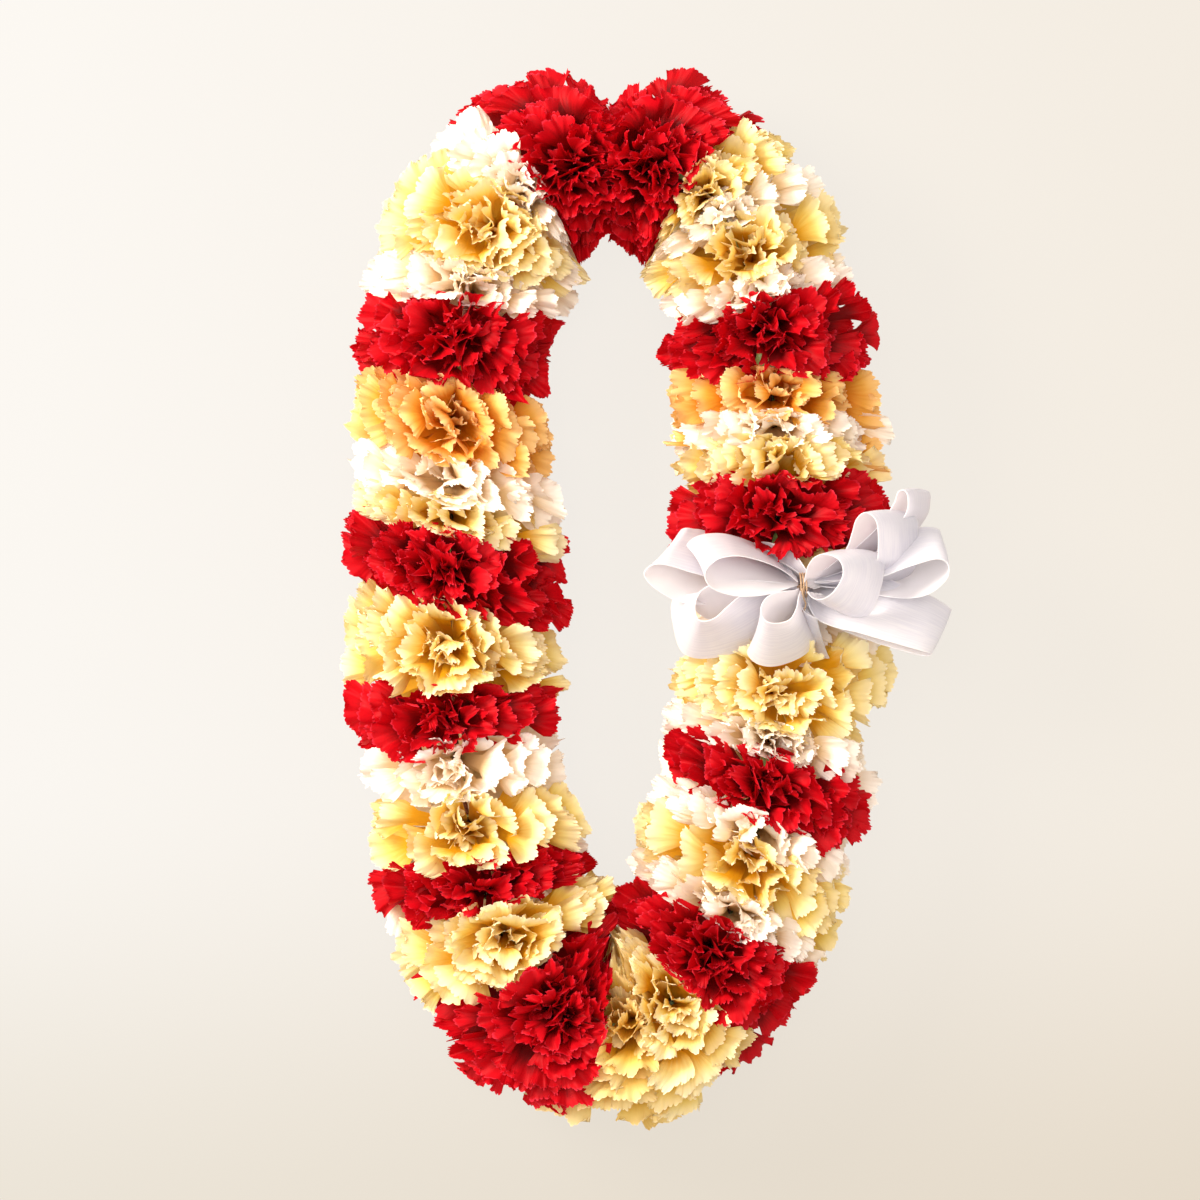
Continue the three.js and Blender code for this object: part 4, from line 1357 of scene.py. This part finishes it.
# %% The loops' near edges: pixel x and y, height in mm, and pixel shift to the far edge
RIBBON_LOOPS = {
    "left_far": [
        (797, 583, 95, -3, -6), (775, 579, 96, -2, -22), (745, 578, 97, 2, -36),
        (715, 578, 99, 6, -42), (690, 572, 104, 12, -42), (674, 567, 107, 20, -38),
        (660, 564, 109, 27, -36), (650, 566, 108, 31, -36), (644, 573, 107, 34, -36),
        (648, 582, 106, 38, -36), (660, 592, 104, 36, -38), (680, 602, 100, 28, -40),
        (710, 604, 95, 14, -38), (750, 596, 92, 6, -28), (780, 588, 92, 0, -16),
        (797, 585, 93, -3, -5),
    ],
    "left_low": [
        (797, 586, 98, -2, 6), (775, 582, 103, -6, 30), (748, 580, 109, -12, 40),
        (724, 581, 113, -16, 38), (710, 585, 115, -20, 20), (701, 591, 116, -23, 2),
        (696, 600, 117, -24, 2), (695, 610, 117, -23, 8), (698, 619, 116, -19, 28),
        (705, 621, 116, -14, 36), (716, 617, 115, -4, 41), (728, 606, 113, 10, 46),
        (740, 596, 111, 15, 50), (756, 588, 108, 16, 46), (778, 586, 103, 8, 26),
        (797, 588, 98, 2, 6),
    ],
    "left_near": [
        (798, 582, 104, -2, -4), (787, 573, 110, -3, -10), (772, 565, 116, -5, -15),
        (754, 559, 121, -8, -19), (737, 556, 125, -12, -22), (721, 558, 127, -15, -24),
        (711, 564, 128, -17, -26), (705, 573, 128, -18, -28), (707, 583, 126, -15, -34),
        (717, 591, 124, -9, -38), (736, 596, 121, -4, -40), (757, 596, 117, -2, -37),
        (774, 593, 112, 0, -28), (789, 588, 107, 0, -14), (798, 585, 101, 0, -4),
    ],
    "top_left": [
        (811, 580, 94, -8, 4), (805, 568, 94, -24, 10), (796, 556, 92, -42, 15),
        (783, 547, 88, -54, 16), (766, 542, 85, -54, 16), (752, 544, 83, -44, 16),
        (758, 551, 82, -40, 14), (778, 560, 84, -34, 12), (796, 571, 86, -20, 8),
        (806, 581, 88, -6, 3),
    ],
    "bottom_back": [
        (800, 590, 98, 2, 8), (800, 602, 102, 5, 34), (804, 611, 106, 10, 43),
        (811, 616, 108, 14, 42), (817, 618, 107, 12, 40), (812, 616, 102, 6, 40),
        (803, 606, 98, 1, 32), (797, 592, 96, 0, 8),
    ],
    "bottom": [
        (799, 588, 104, 0, 10), (795, 590, 109, 0, 28), (786, 591, 114, -2, 36),
        (775, 593, 118, -5, 40), (766, 598, 122, -9, 41), (761, 607, 125, -12, 40),
        (762, 616, 126, -14, 39), (768, 622, 126, -10, 42), (779, 623, 125, -3, 43),
        (790, 619, 123, 11, 38), (796, 609, 119, 19, 34), (798, 599, 113, 19, 28),
        (800, 591, 106, 8, 12),
    ],
    "low_right": [
        (806, 592, 98, 0, -6), (809, 606, 100, 8, -26), (817, 619, 102, 14, -42),
        (834, 627, 104, 14, -51), (856, 632, 105, 10, -58), (880, 639, 105, 6, -61),
        (905, 646, 104, 6, -58), (922, 651, 102, 13, -53), (931, 654, 98, 20, -45),
        (924, 656, 94, 19, -46), (900, 650, 92, 10, -54), (868, 640, 90, 8, -56),
        (834, 626, 90, 10, -46), (813, 606, 92, 8, -24), (806, 594, 95, 0, -5),
    ],
    "front_right": [
        (804, 585, 104, 10, 4), (805, 577, 110, 36, 3), (808, 566, 118, 39, -2),
        (815, 557, 125, 38, -5), (825, 554, 130, 40, -4), (835, 557, 133, 41, -4),
        (841, 563, 134, 42, -4), (843, 572, 134, 41, -2), (840, 582, 133, 41, 5),
        (832, 593, 130, 40, 18), (822, 599, 125, 36, 20), (813, 598, 117, 32, 10),
        (807, 592, 109, 14, 2),
    ],
    "upper_right": [
        (807, 578, 97, 3, -2), (830, 566, 102, 22, -2), (846, 549, 108, 32, 0),
        (852, 533, 113, 34, 3), (856, 520, 116, 36, 2), (863, 513, 118, 38, 0),
        (870, 514, 118, 40, -1), (876, 521, 118, 41, -1), (878, 532, 117, 40, 0),
        (878, 548, 114, 40, 3), (876, 562, 110, 38, 8), (862, 574, 104, 30, 10),
        (830, 582, 98, 12, 4), (807, 582, 96, 3, 0),
    ],
    "far_right": [
        (807, 578, 95, 3, -2), (840, 560, 96, 14, -4), (875, 530, 99, 18, -3),
        (893, 505, 102, 22, -1), (898, 492, 104, 24, 0), (905, 491, 104, 24, 1),
        (908, 500, 103, 22, 2), (905, 515, 100, 20, 4), (885, 545, 96, 14, 4),
        (845, 570, 93, 8, 2), (807, 582, 92, 3, 0),
    ],
    "right": [
        (807, 582, 96, 1, -3), (845, 580, 99, 4, -22), (880, 577, 104, 6, -34),
        (902, 569, 107, 6, -38), (920, 563, 109, 5, -36), (936, 559, 109, 2, -30),
        (946, 562, 108, -5, -26), (949, 571, 107, -8, -26), (944, 582, 105, -8, -28),
        (926, 595, 102, -8, -33), (898, 598, 98, -2, -32), (850, 590, 94, 0, -18),
        (807, 585, 93, 0, -4),
    ],
}
RIBBON_WIDTH = 36.0
RIBBON_GATHERED = 10.0
RIBBON_THICKNESS = 0.35
GATHER_SHARE = 0.07
LOOP_STEPS = 90
RIBBON_STEPS = 11
# How much of the ribbon's width a shift in the picture may take up, which leaves it some depth
WIDEST_SHIFT = 0.97

print(len(RIBBON_LOOPS), "loops, drawn with", sum(map(len, RIBBON_LOOPS.values())), "points")

# %% [markdown]
# A Catmull-Rom curve goes through every point that it is given, so a loop passes where it was drawn.
# It runs through all five numbers of a row at once: place, height and shift. At both ends of a loop
# the ribbon is gathered to 10 mm, and within a fourteenth of its length it opens to its full width.

# %% The two edges of a loop
def smooth_curve(points, steps):
    """A Catmull-Rom curve through the points, evenly sampled."""
    points = np.array(points, float)
    ends = [2 * points[0] - points[1], *points, 2 * points[-1] - points[-2]]
    p = np.array(ends)
    # The last sample stays just inside the last stretch
    t = np.linspace(0, len(points) - 1 - 1e-9, steps)
    i = t.astype(int)
    f = (t - i)[:, None]
    a, b, c, d = p[i], p[i + 1], p[i + 2], p[i + 3]
    bend = 2 * a - 5 * b + 4 * c - d
    twist = 3 * b - a - 3 * c + d
    return 0.5 * (2 * b + (c - a) * f + bend * f**2 + twist * f**3)


def ribbon_edges(points):
    """Near and far edge of one loop in mm, and the share of the way round it."""
    curve = smooth_curve(points, LOOP_STEPS)
    share = np.linspace(0, 1, LOOP_STEPS)
    opened = np.clip(np.minimum(share, 1 - share) / GATHER_SHARE, 0, 1)
    opened = opened * opened * (3 - 2 * opened)
    width = RIBBON_GATHERED + (RIBBON_WIDTH - RIBBON_GATHERED) * opened
    x, y, height, shift_x, shift_y = curve.T
    in_picture = np.hypot(shift_x, shift_y) * MM_PER_PIXEL
    limit = np.minimum(1, WIDEST_SHIFT * width / np.maximum(in_picture, ALMOST_ZERO))
    deeper = np.sqrt(width**2 - (in_picture * limit) ** 2)
    near = at_pixel(x, y, height)
    far = at_pixel(x + shift_x * limit, y + shift_y * limit, height - deeper)
    return near, far, opened


near, far, opened = ribbon_edges(RIBBON_LOOPS["bottom"])
print("the bottom loop is", np.linalg.norm(far - near, axis=1).max().round(1), "mm wide")

# %% [markdown]
# Between its two edges the ribbon is a little crowned, as satin is once it has been on a roll, and
# near the knot it lies in gathers. A single sheet of faces would have no edge to catch the light, so
# each loop is a closed band, 0.35 mm thick, with a front, a back and a rim.

# %% One thin closed band per loop
BOW_SEED = 7
CROWN_HEIGHTS = (0.6, 1.2)
GATHER_HEIGHT = 0.4
GATHER_HALF_WAVES = 3.5


def band_mesh(rows, thickness):
    """Points and triangles of a band with a front, a back and rims, from rows of points."""
    steps, across = rows.shape[:2]
    along_run = np.gradient(rows, axis=0)
    across_run = np.gradient(rows, axis=1)
    normal = unit(np.cross(along_run, across_run))
    front, back = rows + normal * thickness / 2, rows - normal * thickness / 2
    points = np.concatenate([front.reshape(-1, 3), back.reshape(-1, 3)])
    index = np.arange(steps * across).reshape(steps, across)
    a, b = index[:-1, :-1].ravel(), index[:-1, 1:].ravel()
    c, d = index[1:, 1:].ravel(), index[1:, :-1].ravel()
    half = steps * across
    faces = [np.stack([a, b, c], 1), np.stack([a, c, d], 1)]
    faces += [np.stack([a, c, b], 1) + half, np.stack([a, d, c], 1) + half]
    rim = np.concatenate([index[0], index[1:, -1], index[-1, -2::-1], index[-2:0:-1, 0]])
    after = np.roll(rim, -1)
    faces += [np.stack([rim, rim + half, after + half], 1), np.stack([rim, after + half, after], 1)]
    return points, np.concatenate(faces), np.concatenate([rim, rim + half])


draw = np.random.default_rng(BOW_SEED)
bow_points, bow_triangles, bow_marks, bow_rims = [], [], [], []
ribbon_length = 0.0
u = np.linspace(-1, 1, RIBBON_STEPS)
for edge in RIBBON_LOOPS.values():
    near, far, opened = ribbon_edges(edge)
    rows = near[:, None] + (far - near)[:, None] * ((u + 1) / 2)[None, :, None]
    run = unit(np.gradient(rows, axis=0))
    face = unit(np.cross(run, (far - near)[:, None] + 0 * rows))
    crown = draw.uniform(*CROWN_HEIGHTS) * (1 - u**2)[None] * opened[:, None]
    gathers = GATHER_HEIGHT * np.cos(GATHER_HALF_WAVES * np.pi * u)[None] * (1 - opened[:, None])
    rows = rows + face * (crown + gathers)[..., None]
    middle = rows[:, RIBBON_STEPS // 2]
    lengths = np.concatenate([[0], np.cumsum(np.linalg.norm(np.diff(middle, axis=0), axis=1))])
    points, triangles, rim = band_mesh(rows, RIBBON_THICKNESS)
    # The shiny face of the satin is the one that looks away from the middle of the loop
    front, back = points.reshape(2, -1, 3)
    front_is_outside = np.sum((front - back) * (front - front.mean(axis=0))) > 0
    marks = np.zeros((*rows.shape[:2], 3))
    marks[..., 0] = u * RIBBON_WIDTH / 2
    marks[..., 1] = (lengths + ribbon_length)[:, None]
    marks = np.stack([marks, marks]).reshape(2, -1, 3)
    marks[0 if front_is_outside else 1, :, 2] = 1.0
    first = sum(map(len, bow_points))
    bow_triangles.append(triangles + first)
    bow_rims.append(rim + first)
    bow_points.append(points)
    bow_marks.append(marks.reshape(-1, 3))
    ribbon_length += lengths[-1]
print("ribbon in the loops:", round(ribbon_length), "mm")

# %% [markdown]
# Satin is woven so that long threads float on its face. That gives the ribbon its soft lustre, with fine
# lines along the ribbon. The lustre is partly painted: a cool cast on the shiny face, light and dark
# streaks along the ribbon there, and a bright highlight at both edges. A florist's satin shines on one
# side only. Its back, which is the inside of the loops, is matt and has a painted warmer cast. The real
# threads are about 0.1 mm apart and too fine to show, so they are drawn at 0.9 mm.

# %% White polyester satin
THREAD_SPACING = 0.9
THREAD_RELIEF_M = 0.0001
EDGE_WIDTH = 0.9
EDGE_BLEND = 0.2
SATIN_THROUGH = 0.54

satin = new_material("polyester_satin_white")
ribbon_mark = add_node(satin, "ShaderNodeAttribute", attribute_name="ribbon")
ribbon_parts = add_node(satin, "ShaderNodeSeparateXYZ", {0: ribbon_mark.outputs["Vector"]})
thread_place = add_node(
    satin,
    "ShaderNodeVectorMath",
    {0: ribbon_mark.outputs["Vector"]},
    {1: (1 / THREAD_SPACING, 0.05 / THREAD_SPACING, 0.0)},
    operation="MULTIPLY",
)
threads = add_node(
    satin,
    "ShaderNodeTexNoise",
    {"Vector": thread_place.outputs[0]},
    {"Scale": 1.0, "Detail": 2.0, "Roughness": 0.6},
)
thread_bump = add_node(
    satin,
    "ShaderNodeBump",
    {"Height": threads.outputs["Fac"]},
    {"Strength": 0.25, "Distance": THREAD_RELIEF_M},
)
# Painted highlight: both edges of the ribbon are lighter
from_middle = add_node(satin, "ShaderNodeMath", {0: ribbon_parts.outputs["X"]}, operation="ABSOLUTE")
painted_selvedge_highlight = add_node(
    satin,
    "ShaderNodeMapRange",
    {0: from_middle.outputs[0]},
    {"From Min": RIBBON_WIDTH / 2 - EDGE_WIDTH, "From Max": RIBBON_WIDTH / 2 - EDGE_BLEND},
)
# Painted sheen: light and dark streaks along the ribbon, from the thread noise
painted_sheen_mask = add_node(
    satin,
    "ShaderNodeMapRange",
    {0: threads.outputs["Fac"]},
    {"From Min": 0.35, "From Max": 0.65},
)
painted_sheen_streaks = add_node(
    satin,
    "ShaderNodeMix",
    {0: painted_sheen_mask.outputs[0]},
    {6: linear("E0E3F0"), 7: linear("F6F8FE")},
    data_type="RGBA",
)
# Painted light: a cool cast on the shiny outside, a warmer one on the matt inside of the loops
painted_cool_and_warm_faces = add_node(
    satin,
    "ShaderNodeMix",
    {0: ribbon_parts.outputs["Z"], 7: painted_sheen_streaks.outputs[2]},
    {6: linear("FFFCF8")},
    data_type="RGBA",
)
face_roughness = add_node(
    satin,
    "ShaderNodeMapRange",
    {0: ribbon_parts.outputs["Z"]},
    {"To Min": 0.65, "To Max": 0.27},
)
satin_colour = add_node(
    satin,
    "ShaderNodeMix",
    {0: painted_selvedge_highlight.outputs[0], 6: painted_cool_and_warm_faces.outputs[2]},
    {7: linear("FFFFFF")},
    data_type="RGBA",
)
satin_shader = add_node(
    satin,
    "ShaderNodeBsdfPrincipled",
    {
        "Base Color": satin_colour.outputs[2],
        "Normal": thread_bump.outputs[0],
        "Roughness": face_roughness.outputs[0],
    },
    {
        "IOR": 1.5,
        "Specular IOR Level": 1.0,
        "Specular Tint": linear("E6ECFF"),
        "Sheen Weight": 0.1,
    },
)
satin_through = add_node(
    satin,
    "ShaderNodeBsdfTranslucent",
    {"Normal": thread_bump.outputs[0]},
    {"Color": linear("F8F6FA")},
)
satin_mix = add_node(
    satin,
    "ShaderNodeMixShader",
    {1: satin_shader.outputs[0], 2: satin_through.outputs[0]},
    {0: SATIN_THROUGH},
)
add_node(satin, "ShaderNodeOutputMaterial", {"Surface": satin_mix.outputs[0]})
print("satin has", len(satin.node_tree.nodes), "nodes")

# %% [markdown]
# The bow is one piece, because it is one ribbon. Its middle is held gathered by the wire. A cloth
# simulation could let it sag, but a wired satin bow is stiff enough to keep the loops as drawn.

# %% The bow as one piece
bow_mesh = net_mesh(
    "bow_loops",
    np.concatenate(bow_points),
    np.concatenate(bow_triangles),
    "ribbon",
    np.concatenate(bow_marks),
)
bow = add_piece("bow_loops", bow_mesh, satin, ["satin_bow"])
# The rims stay crisp, so that light doesn't run round them from one face to the other
on_rim = np.zeros(len(bow.data.vertices), bool)
on_rim[np.concatenate(bow_rims)] = True
ends = np.zeros(2 * len(bow.data.edges), int)
bow.data.edges.foreach_get("vertices", ends)
crisp = on_rim[ends].reshape(-1, 2).all(axis=1)
bow.data.attributes.new("sharp_edge", "BOOLEAN", "EDGE").data.foreach_set("value", crisp)
print("bow triangles:", len(bow.data.polygons))

# %% [markdown]
# ## Floor
#
# The lei lies on pale paper, which the photograph shows evenly lit, a little darker to the right and
# warmer towards its lower edge. Light alone would need many lamps to do that. So the paper gives off
# most of that brightness itself, and a dark diffuse part under the glow only takes the shadows.

# %% Lit paper
FLOOR_HALF_M = 4
# Metres across and up the picture between which the paper's painted light changes
PAPER_ACROSS = (-0.3, 0.3)
PAPER_UP = (-0.08, -0.33)

floor_mesh = bpy.data.meshes.new("floor")
floor_signs = [(-1, -1), (1, -1), (1, 1), (-1, 1)]
floor_corners = [(FLOOR_HALF_M * x, FLOOR_HALF_M * y, 0) for x, y in floor_signs]
floor_mesh.from_pydata(floor_corners, [], [(0, 1, 2, 3)])
floor = bpy.data.objects.new("floor", floor_mesh)
bpy.context.scene.collection.objects.link(floor)
floor_material = new_material("lit_paper")
where = add_node(floor_material, "ShaderNodeNewGeometry")
place_parts = add_node(floor_material, "ShaderNodeSeparateXYZ", {0: where.outputs["Position"]})
# Painted light: the glow is lighter at the upper left, darker to the right, and darker and warmer towards
# the lower edge
away_from_light = add_node(
    floor_material,
    "ShaderNodeMapRange",
    {0: place_parts.outputs["X"]},
    {"From Min": PAPER_ACROSS[0], "From Max": PAPER_ACROSS[1]},
)
towards_front = add_node(
    floor_material,
    "ShaderNodeMapRange",
    {0: place_parts.outputs["Y"]},
    {"From Min": PAPER_UP[0], "From Max": PAPER_UP[1]},
    interpolation_type="SMOOTHSTEP",
)
far_painted_light = add_node(
    floor_material,
    "ShaderNodeMix",
    {0: away_from_light.outputs[0]},
    {6: linear("F0EDE9"), 7: linear("EBE4DA")},
    data_type="RGBA",
)
near_painted_light = add_node(
    floor_material,
    "ShaderNodeMix",
    {0: away_from_light.outputs[0]},
    {6: linear("E1DACE"), 7: linear("DDD2C2")},
    data_type="RGBA",
)
glow_colour = add_node(
    floor_material,
    "ShaderNodeMix",
    {0: towards_front.outputs[0], 6: far_painted_light.outputs[2], 7: near_painted_light.outputs[2]},
    data_type="RGBA",
)
glow = add_node(floor_material, "ShaderNodeEmission", {"Color": glow_colour.outputs[2]})
paper = add_node(floor_material, "ShaderNodeBsdfDiffuse", inputs={"Color": linear("343330")})
paper_sum = add_node(floor_material, "ShaderNodeAddShader", {0: glow.outputs[0], 1: paper.outputs[0]})
add_node(floor_material, "ShaderNodeOutputMaterial", {"Surface": paper_sum.outputs[0]})
floor_mesh.materials.append(floor_material)
print("floor is", 2 * FLOOR_HALF_M, "m wide")

# %% [markdown]
# ## Light
#
# Soft window light comes from the upper left of the picture, and a wide lamp near the camera keeps
# the shadows between the petals open. The world adds the rest, warm and even, as white walls would.

# %% World and two softboxes
WORLD_STRENGTH = 0.88
LEI_MIDDLE = (0, 0, 0.05)

world = bpy.data.worlds.new("world")
world.use_nodes = True
background = world.node_tree.nodes["Background"]
background.inputs["Color"].default_value = linear("FFF6EA")
background.inputs["Strength"].default_value = WORLD_STRENGTH
bpy.context.scene.world = world


def softbox(name, location, size, power_w, colour):
    """A square lamp of this size in metres and power in watts that looks at the lei."""
    data = bpy.data.lights.new(name, "AREA")
    data.shape = "SQUARE"
    data.size = size
    data.energy = power_w
    data.color = linear(colour)[:3]
    light = bpy.data.objects.new(name, data)
    light.location = location
    aim = np.array(LEI_MIDDLE) - np.array(location)
    light.rotation_euler = Vector(aim).to_track_quat("-Z", "Y").to_euler()
    bpy.context.scene.collection.objects.link(light)


softbox("key", (-0.95, 0.5, 0.95), 0.5, 31, "FFF4E6")
softbox("front", (-0.3, 0.3, 2.3), 0.9, 28, "FFFAF4")
print("lamps:", len(bpy.data.lights))
